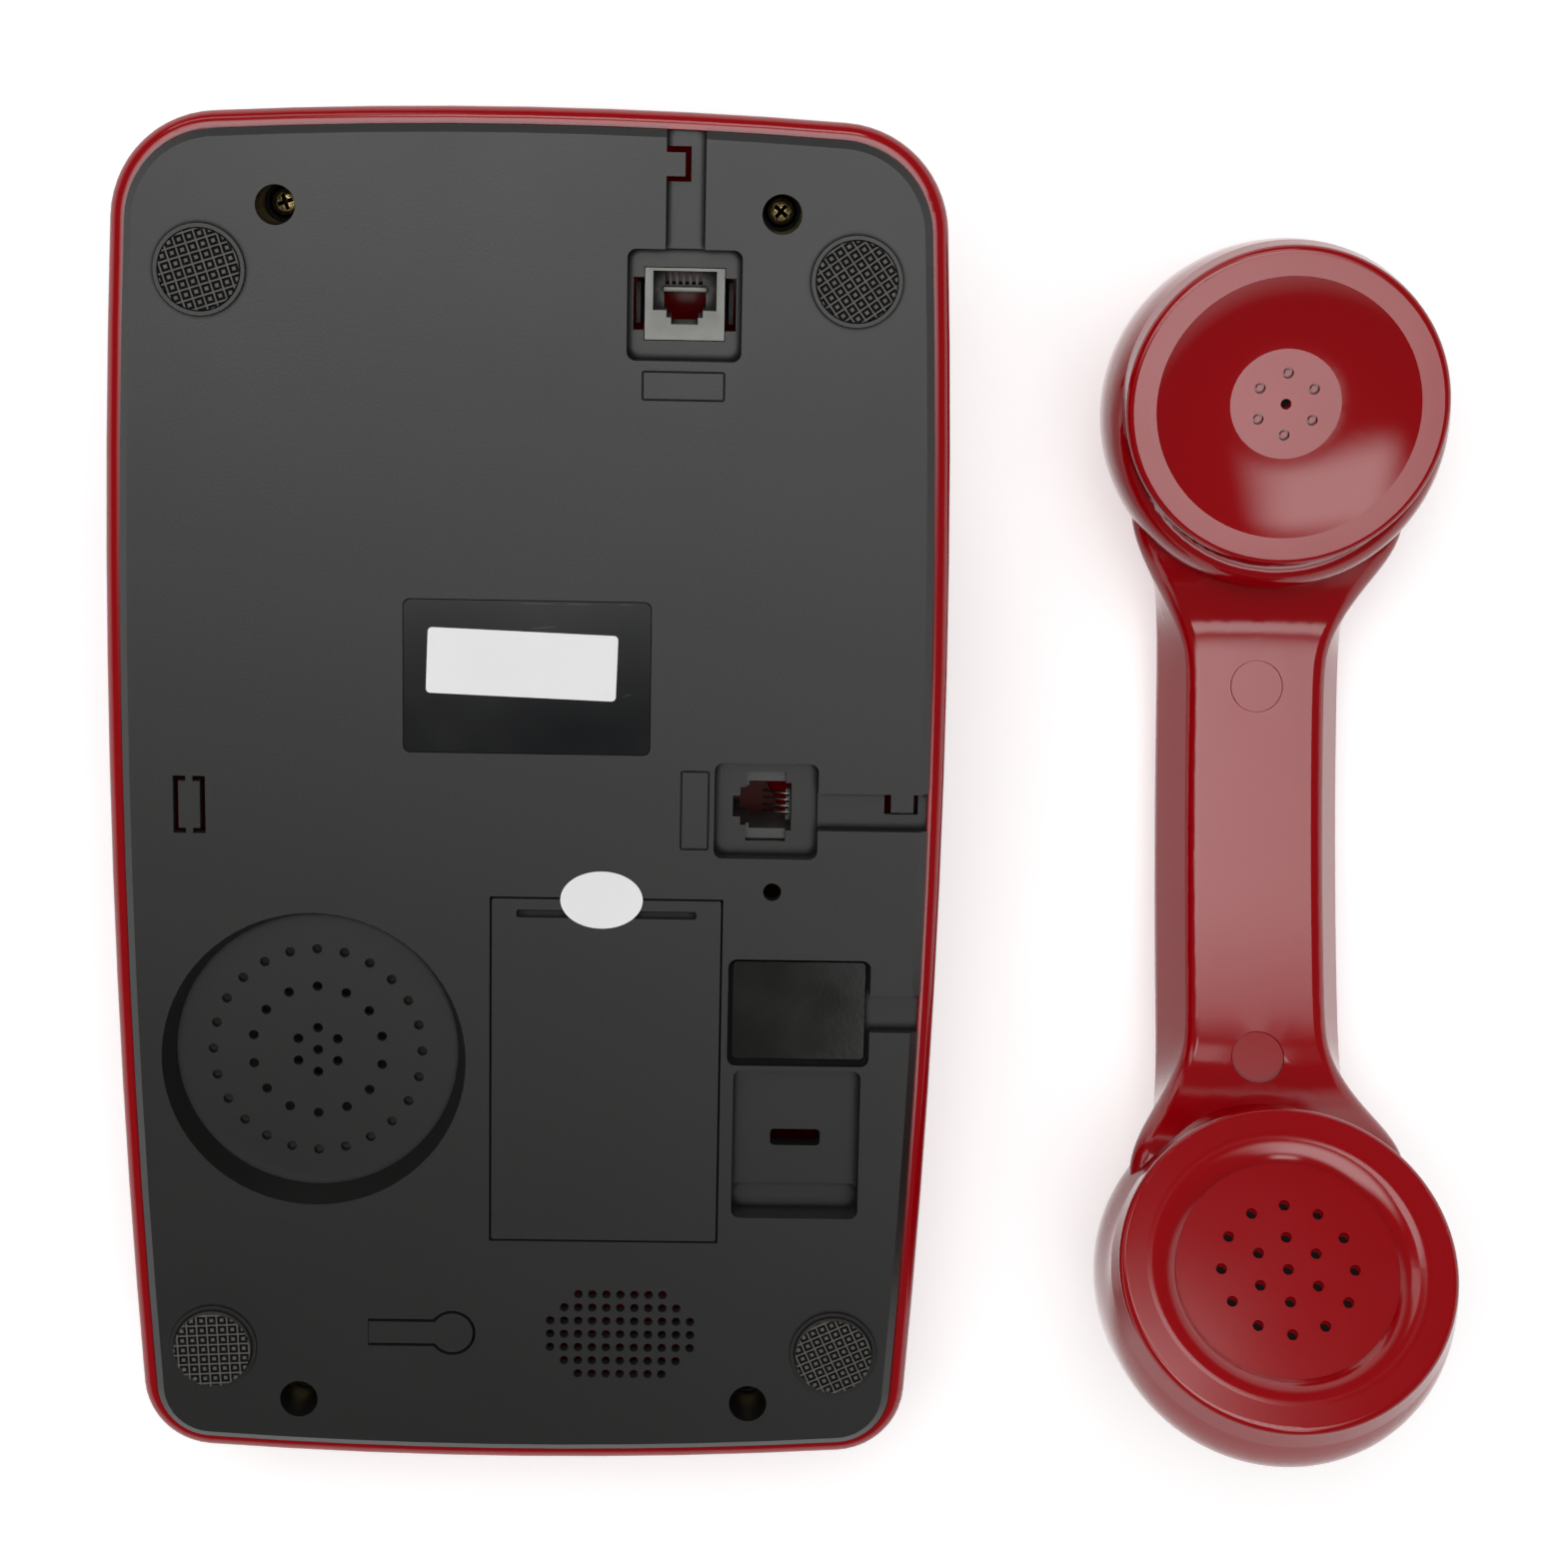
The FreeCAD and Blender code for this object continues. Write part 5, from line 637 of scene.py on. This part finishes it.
@dataclass
class Studio:
    """White table, soft lamps and the camera above them."""

    camera_place: Xyz = (-0.015142, -0.001815, 0.595348)
    camera_turn: Xyz = (0.53382, -1.42759, 0.87572)
    lens_mm: float = 76.782
    sensor_mm: float = 36.0
    clip: Span = (0.01, 50.0)
    table_reach: float = 4.0
    table_top: float = -0.0002
    table_colour: str = "#F2F2F2"
    table_roughness: float = 0.9
    table_glow: Span = (0.42, 0.95)
    glow_reach: Span = (0.25, 1.4)
    room_grey: Span = (0.95, 0.11)
    room_height: Span = (0.14, 0.34)
    lamps: list[Softbox] = field(
        default_factory=lambda: [
            Softbox("overhead softbox", (-0.10, 0.04, 1.35), (1.7, 1.2), 25.0, 0.32),
            Softbox("near softbox", (0.27, -0.60, 1.2), (0.42, 0.36), 1.8, 0.3),
            Softbox("back softbox", (0.03, 0.83, 1.3), (0.62, 0.36), 2.4, 0.12),
            Softbox("far softbox", (-0.55, 1.05, 1.0), (0.9, 0.4), 1.8),
        ]
    )

    def build(self) -> None:
        """Sets the table, the lamps, the surroundings and the camera."""
        self.table()
        for lamp in self.lamps:
            lamp.build()
        self.surroundings()
        self.camera()
        bpy.context.scene.view_settings.view_transform = "Standard"

    def table(self) -> None:
        """Lays a white table that looks white to the eye and still takes a faint shadow."""
        place = (0.0, 0.0, self.table_top)
        bpy.ops.mesh.primitive_plane_add(size=2.0 * self.table_reach, location=place)
        table = bpy.context.object
        table.name = "table"
        material = bpy.data.materials.new("white table")
        material.use_nodes = True
        tree = material.node_tree
        shader = tree.nodes["Principled BSDF"]
        shader.inputs["Base Color"].default_value = linear(self.table_colour)
        shader.inputs["Roughness"].default_value = self.table_roughness
        shader.inputs["Specular IOR Level"].default_value = 0.0
        spot = add_node(tree, "ShaderNodeTexCoord").outputs["Object"]
        reach = add_node(tree, "ShaderNodeVectorMath", {0: spot}, operation="LENGTH")
        glow = ranged(tree, reach.outputs["Value"], self.glow_reach, self.table_glow)
        seen_glow = joined(tree, "MULTIPLY", self.seen(tree), glow)
        tree.links.new(seen_glow, shader.inputs["Emission Strength"])
        shader.inputs["Emission Color"].default_value = WHITE
        table.data.materials.append(material)

    def seen(self, tree: Tree) -> Socket:
        """Says which rays look at the surroundings.

        Args:
            tree: The node tree that asks.

        Returns:
            A socket that is one for camera, glossy and transmitted rays.
        """
        path = add_node(tree, "ShaderNodeLightPath").outputs
        either = joined(tree, "MAXIMUM", path["Is Camera Ray"], path["Is Glossy Ray"])
        return joined(tree, "MAXIMUM", either, path["Is Transmission Ray"])

    def surroundings(self) -> None:
        """Makes the room: white low down, where the table's surround stands, and dim above it."""
        world = bpy.data.worlds.new("studio")
        bpy.context.scene.world = world
        world.use_nodes = True
        tree = world.node_tree
        background = tree.nodes["Background"]
        ray = add_node(tree, "ShaderNodeTexCoord").outputs["Generated"]
        height = add_node(tree, "ShaderNodeSeparateXYZ", {"Vector": ray}).outputs["Z"]
        ramp = add_node(tree, "ShaderNodeValToRGB", {"Fac": height})
        for element, grey, place in zip(ramp.color_ramp.elements, self.room_grey, self.room_height):
            element.position = place
            element.color = (grey, grey, grey, 1.0)
        path = add_node(tree, "ShaderNodeLightPath").outputs
        colour = blended(tree, path["Is Camera Ray"], ramp.outputs["Color"], WHITE)
        tree.links.new(colour, background.inputs["Color"])

    def camera(self) -> None:
        """Sets the camera where the photographer stood."""
        lens = bpy.data.cameras.new("camera")
        lens.lens = self.lens_mm
        lens.sensor_width = self.sensor_mm
        lens.sensor_fit = "HORIZONTAL"
        lens.clip_start, lens.clip_end = self.clip
        camera = bpy.data.objects.new("camera", lens)
        bpy.context.scene.collection.objects.link(camera)
        camera.location = self.camera_place
        camera.rotation_euler = Euler([math.radians(angle) for angle in self.camera_turn])
        bpy.context.scene.camera = camera


# --------------------------------------------------------------- workshop


def add_piece(name: str) -> Piece:
    """Names the primitive that was just added and leaves it the only one selected.

    Args:
        name: The piece's name.

    Returns:
        The piece.
    """
    piece = bpy.context.object
    piece.name = name
    piece.data.name = name
    alone(piece)
    return piece


def alone(piece: Piece) -> None:
    """Selects one piece and makes it active.

    Args:
        piece: The piece.
    """
    for other in list(bpy.context.selected_objects):
        other.select_set(False)
    piece.select_set(True)
    bpy.context.view_layer.objects.active = piece


@contextmanager
def editing(piece: Piece) -> Iterator[None]:
    """Keeps a piece in edit mode with faces as the unit of selection.

    Args:
        piece: The piece.
    """
    alone(piece)
    bpy.context.tool_settings.mesh_select_mode = (False, False, True)
    bpy.ops.object.mode_set(mode="EDIT")
    yield
    bpy.ops.object.mode_set(mode="OBJECT")


def pick(piece: Piece, wanted: Callable[[Vector, Vector], bool]) -> None:
    """Selects faces in edit mode.

    Args:
        piece: The piece.
        wanted: Says from a face's middle and normal whether it is wanted.
    """
    mesh = bmesh.from_edit_mesh(piece.data)
    for face in mesh.faces:
        face.select_set(False)
    for face in mesh.faces:
        if wanted(face.calc_center_median(), face.normal):
            face.select_set(True)
    bmesh.update_edit_mesh(piece.data)


def faces_up(middle: Vector, normal: Vector) -> bool:
    """Picks the faces that look up.

    Args:
        middle: The face's middle; not used.
        normal: The face's normal.

    Returns:
        Whether the face looks up.
    """
    return normal.z > LEVEL


def faces_down(middle: Vector, normal: Vector) -> bool:
    """Picks the faces that look down.

    Args:
        middle: The face's middle; not used.
        normal: The face's normal.

    Returns:
        Whether the face looks down.
    """
    return normal.z < -LEVEL


def block(name: str, low: Xyz, high: Xyz) -> Piece:
    """Adds a block, in millimetres, as the start of a piece or as a cutter.

    Args:
        name: Its name.
        low: Its lowest corner.
        high: Its highest corner.

    Returns:
        The block, with its place in its mesh.
    """
    size = [b - a for a, b in zip(low, high)]
    middle = [(a + b) / 2.0 for a, b in zip(low, high)]
    bpy.ops.mesh.primitive_cube_add(size=1.0, location=(0.0, 0.0, 0.0))
    piece = add_piece(name)
    piece.data.transform(Matrix.Translation(middle) @ Matrix.Diagonal((*size, 1.0)))
    return piece


def carve(piece: Piece, cutter: Piece, kind: str = "DIFFERENCE") -> None:
    """Joins a piece with another by a boolean and drops the other.

    Args:
        piece: The piece.
        cutter: The other piece, which is used up.
        kind: DIFFERENCE, UNION or INTERSECT.
    """
    alone(piece)
    modifier = piece.modifiers.new("carve", "BOOLEAN")
    modifier.operation = kind
    modifier.solver = "EXACT"
    modifier.object = cutter
    bpy.ops.object.modifier_apply(modifier=modifier.name)
    bpy.data.objects.remove(cutter)


def chamfer(piece: Piece, width: float, steps: int = 2, angle: float = 40.0) -> None:
    """Rounds the sharp edges of a piece.

    Args:
        piece: The piece.
        width: Width of the rounding.
        steps: Faces across it.
        angle: Edges sharper than this many degrees are rounded.
    """
    alone(piece)
    modifier = piece.modifiers.new("chamfer", "BEVEL")
    modifier.width = width
    modifier.segments = steps
    modifier.angle_limit = math.radians(angle)
    bpy.ops.object.modifier_apply(modifier=modifier.name)


def spread(count: int, pitch: float) -> list[float]:
    """Spaces places evenly round zero.

    Args:
        count: How many.
        pitch: The space between two.

    Returns:
        The places, from low to high.
    """
    return [(step - (count - 1) / 2.0) * pitch for step in range(count)]


def copied(piece: Piece, place: Matrix) -> Piece:
    """Copies a piece with a mesh of its own.

    Args:
        piece: The piece.
        place: Where the copy goes, as a matrix on the piece's own millimetres.

    Returns:
        The copy.
    """
    twin = piece.copy()
    twin.data = piece.data.copy()
    twin.data.transform(place)
    bpy.context.scene.collection.objects.link(twin)
    return twin


def gathered(pieces: list[Piece]) -> Piece:
    """Joins separate pieces into one object.

    Args:
        pieces: The pieces, of which the first stays.

    Returns:
        The joined object.
    """
    alone(pieces[0])
    for piece in pieces[1:]:
        piece.select_set(True)
    bpy.ops.object.join()
    return pieces[0]


def settle(
    piece: Piece,
    place: Matrix,
    finish: Finishes,
    body: str,
    replaced: tuple[str, ...] = (),
    smooth: float = 35.0,
) -> None:
    """Puts a finished piece where it belongs and dresses it.

    Args:
        piece: The piece, shaped in millimetres.
        place: The matrix that carries its metres to the shared frame's metres.
        finish: Its finish.
        body: The body that it rides on.
        replaced: The CAD nodes that it stands for.
        smooth: Edges flatter than this many degrees are smoothed.
    """
    piece.data.transform(place @ Matrix.Scale(MM, 4))
    piece.data.materials.clear()
    piece.data.materials.append(finish.value.material())
    alone(piece)
    bpy.ops.object.shade_smooth_by_angle(angle=math.radians(smooth))
    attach(piece, body)
    if replaced:
        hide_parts(*replaced)
    LOG.info("%s made in %s", piece.name, finish.value.name)


# ------------------------------------------------------------------ pieces


@dataclass
class RubberFeet:
    """The four round feet, each with a waffle of ribs and square studs."""

    # Across and along the cover, the height of the top, and the waffle's turn in degrees.
    places: tuple[tuple[float, ...], ...] = (
        (-50.65, 85.2, 0.9, 18.0),
        (50.65, 85.2, 0.9, 35.0),
        (-50.95, -90.05, 2.3, 3.0),
        (50.95, -90.05, 2.3, 25.0),
    )
    radius: float = 6.25
    seat: float = 0.68
    rim_edge: float = 0.12
    cells: int = 9
    pitch: float = 1.66
    shift: Xyz = (0.3, 0.2, 0.0)
    rib: float = 0.12
    rib_slope: float = 0.03
    stud_gap: float = 0.36
    stud_slope: float = 0.04
    stud_height: float = 0.9
    depth: float = 0.62

    def build(self) -> None:
        """Makes the feet and seats them in their rings."""
        pads = [self.pad(height, turn, x, y) for x, y, height, turn in self.places]
        pads[0].name = "waffle_feet"
        feet = gathered(pads)
        settle(feet, BASE.matrix(), Finishes.RUBBER, "base", ("rubber_feet",), smooth=20.0)

    def pad(self, height: float, turn: float, x: float, y: float) -> Piece:
        """Makes one foot.

        Args:
            height: Its top above the cover.
            turn: Degrees that its waffle is turned by.
            x: Its place across the cover.
            y: Its place along the cover.

        Returns:
            The foot.
        """
        bpy.ops.mesh.primitive_grid_add(
            x_subdivisions=self.cells, y_subdivisions=self.cells, size=self.cells * self.pitch
        )
        pad = add_piece("foot_pad")
        sink = (0.0, 0.0, -(height + self.seat))
        with editing(pad):
            bpy.ops.mesh.select_all(action="SELECT")
            bpy.ops.mesh.inset(thickness=self.rib, use_individual=True)
            bpy.ops.mesh.inset(thickness=self.rib_slope, depth=-self.depth, use_individual=True)
            bpy.ops.mesh.inset(thickness=self.stud_gap, use_individual=True)
            rise = self.depth * self.stud_height
            bpy.ops.mesh.inset(thickness=self.stud_slope, depth=rise, use_individual=True)
            bpy.ops.mesh.select_all(action="SELECT")
            bpy.ops.mesh.extrude_region_move(TRANSFORM_OT_translate={"value": sink})
            bpy.ops.mesh.select_all(action="SELECT")
            bpy.ops.mesh.normals_make_consistent(inside=False)
        pad.data.transform(turned(turn) @ Matrix.Translation(self.shift))
        carve(pad, self.rim(height), "INTERSECT")
        pad.data.transform(Matrix.Translation((x, y, height)))
        return pad

    def rim(self, height: float) -> Piece:
        """Makes the round blank that trims a foot's waffle.

        Args:
            height: The foot's top above the cover.

        Returns:
            The blank.
        """
        thick = height + self.seat
        bpy.ops.mesh.primitive_cylinder_add(vertices=72, radius=self.radius, depth=thick)
        blank = add_piece("foot_blank")
        blank.data.transform(Matrix.Translation((0.0, 0.0, -thick / 2.0)))
        chamfer(blank, self.rim_edge, angle=60.0)
        return blank


@dataclass
class CaseScrews:
    """The four cross-recessed screws at the bottom of their bores."""

    # Across and along the cover, and the cross's turn in degrees.
    places: tuple[Xyz, ...] = (
        (-38.95, 95.2, 20.0),
        (38.95, 95.2, 50.0),
        (-37.05, -99.2, 35.0),
        (37.05, -99.2, 75.0),
    )
    seat: float = -15.0
    head_radius: float = 2.4
    head_height: float = 1.8
    straight: float = 0.6
    dome_height: float = 0.55
    dome: tuple[Span, ...] = ((0.18, 0.22), (0.35, 0.24), (0.6, 0.18), (0.8, 0.08))
    shank_radius: float = 1.22
    shank_length: float = 11.0
    threads: int = 9
    thread_depth: float = 0.22
    tip: float = 0.7
    recess_reach: float = 0.72
    recess_half: float = 0.42
    recess_floor: float = 0.1
    recess_taper: Xyz = (0.5, 0.6, 1.0)

    def build(self) -> None:
        """Makes one screw and copies it to the four bores."""
        master = self.screw()
        screws = [
            copied(master, Matrix.Translation((x, y, self.seat)) @ turned(turn))
            for x, y, turn in self.places
        ]
        bpy.data.objects.remove(master)
        screws[0].name = "cross_recessed_screws"
        group = gathered(screws)
        settle(group, BASE.matrix(), Finishes.ZINC, "base", ("case_screws",), smooth=25.0)

    def screw(self) -> Piece:
        """Makes a pan-head screw with a threaded shank.

        Returns:
            The screw, standing on the origin with its head up.
        """
        side = self.head_height * self.straight
        bpy.ops.mesh.primitive_cylinder_add(vertices=48, radius=self.head_radius, depth=side)
        screw = add_piece("case_screw")
        screw.data.transform(Matrix.Translation((0.0, 0.0, side / 2.0)))
        half_pitch = self.shank_length / self.threads / 2.0
        with editing(screw):
            pick(screw, faces_up)
            for inset, rise in self.dome:
                depth = rise * self.head_height * self.dome_height
                bpy.ops.mesh.inset(thickness=inset, depth=depth)
            pick(screw, faces_down)
            bpy.ops.mesh.inset(thickness=self.head_radius - self.shank_radius)
            for _ in range(self.threads):
                bpy.ops.mesh.inset(thickness=self.thread_depth, depth=half_pitch)
                bpy.ops.mesh.inset(thickness=-self.thread_depth, depth=half_pitch, use_outset=False)
            bpy.ops.mesh.inset(thickness=self.tip, depth=self.tip)
        for turn in (0.0, 90.0):
            carve(screw, self.blade(turn))
        return screw

    def blade(self, turn: float) -> Piece:
        """Makes one tapered blade of the driver that formed the recess.

        Args:
            turn: Degrees about the screw's axis.

        Returns:
            The cutter.
        """
        reach, half = self.head_radius * self.recess_reach, self.recess_half
        floor, top = self.head_height * self.recess_floor, self.head_height * 2.0
        cutter = block("driver_blade", (-reach, -half, floor), (reach, half, top))
        with editing(cutter):
            pick(cutter, faces_down)
            bpy.ops.transform.resize(value=self.recess_taper, center_override=(0.0, 0.0, 0.0))
        cutter.data.transform(turned(turn))
        return cutter


@dataclass
class LineSocket:
    """The line socket: a pale body with a stepped mouth, a comb of slots and a bright ledge.

    The sizes are in millimetres round its middle. An opening is given by left, right, low and top.
    """

    middle: Span = (24.05, 81.0)
    width: float = 12.4
    height: float = 11.1
    back: float = -16.0
    front: float = -4.0
    edge: float = 0.45
    floor: float = -7.6
    mouth: Opening = (-4.95, 4.95, -1.0, 5.1)
    openings: tuple[Opening, ...] = (
        (-3.3, 3.3, -0.95, 1.7),
        (-2.85, 2.85, -2.1, 0.0),
        (-2.1, 2.1, -3.15, 0.0),
    )
    arm: float = 0.7
    arm_height: float = 6.4
    slots: int = 6
    slot_shift: float = -0.2
    slot_pitch: float = 1.04
    slot_width: float = 0.62
    slot_ends: Span = (2.8, 4.9)
    ledge: Opening = (-3.45, 3.45, 1.75, 2.5)
    ledge_rise: Span = (-0.2, 1.2)
    ledge_edge: float = 0.18
    springs: int = 4
    spring_pitch: float = 1.02
    spring_half: float = 0.18
    spring_low: Span = (2.4, -15.6)
    spring_high: Span = (2.75, -8.8)
    spring_bends: tuple[Xyz, ...] = ((0.0, -0.5, 0.25), (0.0, -0.6, -0.35))

    def build(self) -> None:
        """Makes the socket."""
        half_x, half_y = self.width / 2.0, self.height / 2.0
        outline = (-half_x, half_x, -half_y, half_y)
        body = self.bar("stepped_line_socket", outline, self.back, self.front)
        for side in (-1.0, 1.0):
            carve(body, self.snap(side), "UNION")
        chamfer(body, self.edge)
        deep, high = self.back - 1.0, 1.0
        carve(body, self.bar("mouth", self.mouth, self.floor, high))
        for opening in self.openings:
            carve(body, self.bar("opening", opening, deep, high))
        half = self.slot_width / 2.0
        for x in spread(self.slots, self.slot_pitch):
            sides = (x + self.slot_shift - half, x + self.slot_shift + half)
            carve(body, self.bar("comb_slot", (*sides, *self.slot_ends), deep, high))
        low, top = self.ledge_rise
        ledge = self.bar("ledge", self.ledge, self.floor + low, self.floor + top)
        chamfer(ledge, self.ledge_edge)
        carve(body, ledge, "UNION")
        place = BASE.at(*self.middle, 0.0)
        settle(body, place, Finishes.PALE_NYLON, "base", ("line_socket",), smooth=25.0)
        self.contacts()

    def bar(self, name: str, opening: Opening, low: float, high: float) -> Piece:
        """Makes a block from an opening and two heights.

        Args:
            name: Its name.
            opening: Its left, right, low and top.
            low: Its lower height.
            high: Its upper height.

        Returns:
            The block.
        """
        left, right, start, end = opening
        return block(name, (left, start, low), (right, end, high))

    def snap(self, side: float) -> Piece:
        """Makes one snap arm beside the body.

        Args:
            side: Minus one for the left arm and one for the right.

        Returns:
            The arm with its foot.
        """
        inner, outer = self.width / 2.0 + self.arm, self.width / 2.0 + 2.0 * self.arm
        half = self.arm_height / 2.0
        reach = sorted((side * inner, side * outer))
        root = sorted((side * (self.width / 2.0 - self.arm), side * outer))
        arm = self.bar("snap", (*reach, -half, half), self.back, self.front - 4.0 * self.arm)
        foot = self.bar("foot", (*root, -half, half), self.back, self.back + 2.0 * self.arm)
        carve(arm, foot, "UNION")
        return arm

    def contacts(self) -> None:
        """Makes the gilt springs behind the comb's slots."""
        springs = []
        for x in spread(self.springs, self.spring_pitch):
            low = (x - self.spring_half, *self.spring_low)
            spring = block("spring", low, (x + self.spring_half, *self.spring_high))
            with editing(spring):
                pick(spring, faces_up)
                for move in self.spring_bends:
                    bpy.ops.mesh.extrude_region_move(TRANSFORM_OT_translate={"value": move})
            springs.append(spring)
        springs[0].name = "line_springs"
        place = BASE.at(*self.middle, 0.0)
        settle(gathered(springs), place, Finishes.GILT_WIRE, "base", ("line_contacts",))


@dataclass
class CordSprings:
    """The four thin wires that slant across the handset socket's opening."""

    middle: Span = (38.2, 1.2)
    wires: int = 4
    pitch: float = 1.02
    radius: float = 0.17
    start: Span = (3.95, -7.2)
    fan: float = 0.12
    straight: Xyz = (-0.9, 0.0, 0.0)
    slope: Xyz = (-2.6, -0.25, -2.2)
    hook: Xyz = (-0.9, -0.1, -0.9)
    comb_low: Xyz = (3.25, -2.55, -7.6)
    comb_high: Xyz = (4.05, 2.55, -6.0)
    gap_half: float = 0.24
    gap_across: Span = (2.0, 3.8)
    gap_rise: Span = (-7.1, -5.0)
    comb_edge: float = 0.06

    def build(self) -> None:
        """Makes the wires from the comb at the right towards the left."""
        wires = []
        start_x, start_z = self.start
        slope_x, slope_y, slope_z = self.slope
        for y, fan in zip(spread(self.wires, self.pitch), spread(self.wires, self.fan)):
            bpy.ops.mesh.primitive_circle_add(vertices=8, radius=self.radius, fill_type="NGON")
            wire = add_piece("cord_wire")
            wire.data.transform(Matrix.Translation((start_x, y, start_z)) @ turned(90.0, "Y"))
            with editing(wire):
                bpy.ops.mesh.select_all(action="SELECT")
                for move in (self.straight, (slope_x, slope_y + fan, slope_z), self.hook):
                    bpy.ops.mesh.extrude_region_move(TRANSFORM_OT_translate={"value": move})
                bpy.ops.mesh.select_all(action="SELECT")
                bpy.ops.mesh.normals_make_consistent(inside=False)
            wires.append(wire)
        wires[0].name = "cord_springs"
        place = BASE.at(*self.middle, 0.0)
        settle(gathered(wires), place, Finishes.SPRING, "base", ("cord_contacts",), smooth=60.0)
        self.comb()

    def comb(self) -> None:
        """Makes the toothed strip that keeps the wires apart."""
        comb = block("cord_comb", self.comb_low, self.comb_high)
        left, right = self.gap_across
        floor, top = self.gap_rise
        for y in spread(self.wires, self.pitch):
            low, high = y - self.gap_half, y + self.gap_half
            carve(comb, block("tooth_gap", (left, low, floor), (right, high, top)))
        chamfer(comb, self.comb_edge, steps=1)
        settle(comb, BASE.at(*self.middle, 0.0), Finishes.PALE_NYLON, "base")


@dataclass
class ScrewPlugs:
    """The two round plugs over the handset's screws, with a chamfer that shows as a dark ring."""

    chamfer_width: float = 0.5
    merge: float = 0.002

    def build(self, nodes: dict[str, Piece]) -> None:
        """Makes the plugs from the CAD node's own form.

        Args:
            nodes: The CAD nodes by name.
        """
        source = nodes["screw_plugs"]
        piece = bpy.data.objects.new("chamfered_plugs", source.data.copy())
        bpy.context.scene.collection.objects.link(piece)
        piece.data.transform(Matrix.Scale(1.0 / MM, 4))
        with editing(piece):
            bpy.ops.mesh.select_all(action="SELECT")
            bpy.ops.mesh.remove_doubles(threshold=self.merge)
            bpy.ops.mesh.customdata_custom_splitnormals_clear()
        chamfer(piece, self.chamfer_width, steps=1, angle=50.0)
        place = Matrix.Identity(4)
        settle(piece, place, Finishes.POLISHED_ABS, "handset", ("screw_plugs",), smooth=25.0)


def middle_of(values: list[float]) -> float:
    """Finds the middle between the lowest and the highest value.

    Args:
        values: The values.

    Returns:
        The middle.
    """
    return (min(values) + max(values)) / 2.0


@dataclass
class KeyPrint:
    """Plain numbers printed on the keys of the dial ring."""

    size: float = 5.4
    thickness: float = 0.03
    marks: tuple[tuple[str, str], ...] = (
        *((f"key_{digit}", digit) for digit in "1234567890"),
        ("key_star", "*"),
        ("key_hash", "#"),
    )

    def build(self, nodes: dict[str, Piece]) -> None:
        """Prints each key.

        Args:
            nodes: The CAD nodes by name.
        """
        to_front = FRONT.matrix().inverted()
        for name, mark in self.marks:
            points = [to_front @ vertex.co / MM for vertex in nodes[name].data.vertices]
            x, y = (middle_of([point[axis] for point in points]) for axis in range(2))
            self.mark(f"{name}_print", mark, x, y, min(point.z for point in points), name)

    def mark(self, name: str, text: str, x: float, y: float, top: float, body: str) -> None:
        """Prints one mark.

        Args:
            name: The piece's name.
            text: The mark.
            x: The key's middle across the front.
            y: The key's middle along the front.
            top: Where the key's face lies.
            body: The key that carries it.
        """
        bpy.ops.object.text_add(location=(0.0, 0.0, 0.0))
        words = bpy.context.object
        words.data.body = text
        words.data.size = self.size
        words.data.align_x = "CENTER"
        words.data.extrude = self.thickness
        alone(words)
        bpy.ops.object.convert(target="MESH")
        piece = add_piece(name)
        points = [vertex.co for vertex in piece.data.vertices]
        across, along = (middle_of([point[axis] for point in points]) for axis in range(2))
        centred = Matrix.Translation((-across, -along, 0.0))
        piece.data.transform(Matrix.Translation((x, y, top)) @ turned(180.0, "Y") @ centred)
        settle(piece, FRONT.matrix(), Finishes.KEY_PRINT, body)


# --------------------------------------------------------- carried pieces


CARRIED: dict[Finishes, tuple[str, ...]] = {
    Finishes.TEXTURED_ABS: ("back_cover", "battery_door", "press_tongue"),
    Finishes.POLISHED_ABS: (
        "front_shell",
        "handset_inner_shell",
        "handset_outer_shell",
        "ear_cap",
        "mouth_cap",
        "hook_lever",
    ),
    Finishes.ZINC: ("handset_screws",),
    Finishes.FILM: ("label_film",),
    Finishes.PAPER: ("white_label", "inspection_sticker", "dial_card"),
    Finishes.DARK_NYLON: ("cord_socket", "handset_cord_socket"),
    Finishes.SMOOTH_ABS: ("blanking_plate",),
    Finishes.CELL: ("battery_cells",),
    Finishes.SPRING: ("battery_contacts", "hook_pin", "hook_spring"),
    Finishes.LAMINATE: ("main_board", "switch_board"),
    Finishes.PHENOLIC: ("key_board",),
    Finishes.COMPOUND: ("board_components", "reset_switch", "hook_switch"),
    Finishes.ENAMEL: ("ringer_basket",),
    Finishes.PULP: ("ringer_cone",),
    Finishes.FERRITE: ("ringer_magnet", "ballast_weight"),
    Finishes.DIAL: ("dial_plate",),
    Finishes.WINDOW: ("dial_window",),
    Finishes.SILICONE: ("key_mat",),
    Finishes.CAPSULE_CLOTH: ("receiver_capsule", "microphone_capsule"),
    Finishes.KEY_ABS: (
        *(f"key_{name}" for name in (*"1234567890", "star", "hash")),
        "redial_key",
        "flash_key",
    ),
}


def dress_carried(nodes: dict[str, Piece]) -> None:
    """Gives each node that the CAD model brings its real finish.

    Args:
        nodes: The CAD nodes by name.
    """
    for finish, names in CARRIED.items():
        for name in names:
            nodes[name].material_slots[0].material = finish.value.material()
            LOG.info("%s dressed in %s", name, finish.value.name)


def main() -> None:
    """Builds the studio and the telephone in it."""
    logging.basicConfig(level=logging.INFO, format="%(name)s: %(message)s")
    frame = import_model()
    Studio().build()
    dress_carried(frame["nodes"])
    RubberFeet().build()
    CaseScrews().build()
    LineSocket().build()
    CordSprings().build()
    ScrewPlugs().build(frame["nodes"])
    KeyPrint().build(frame["nodes"])


if __name__ == "__main__":
    main()
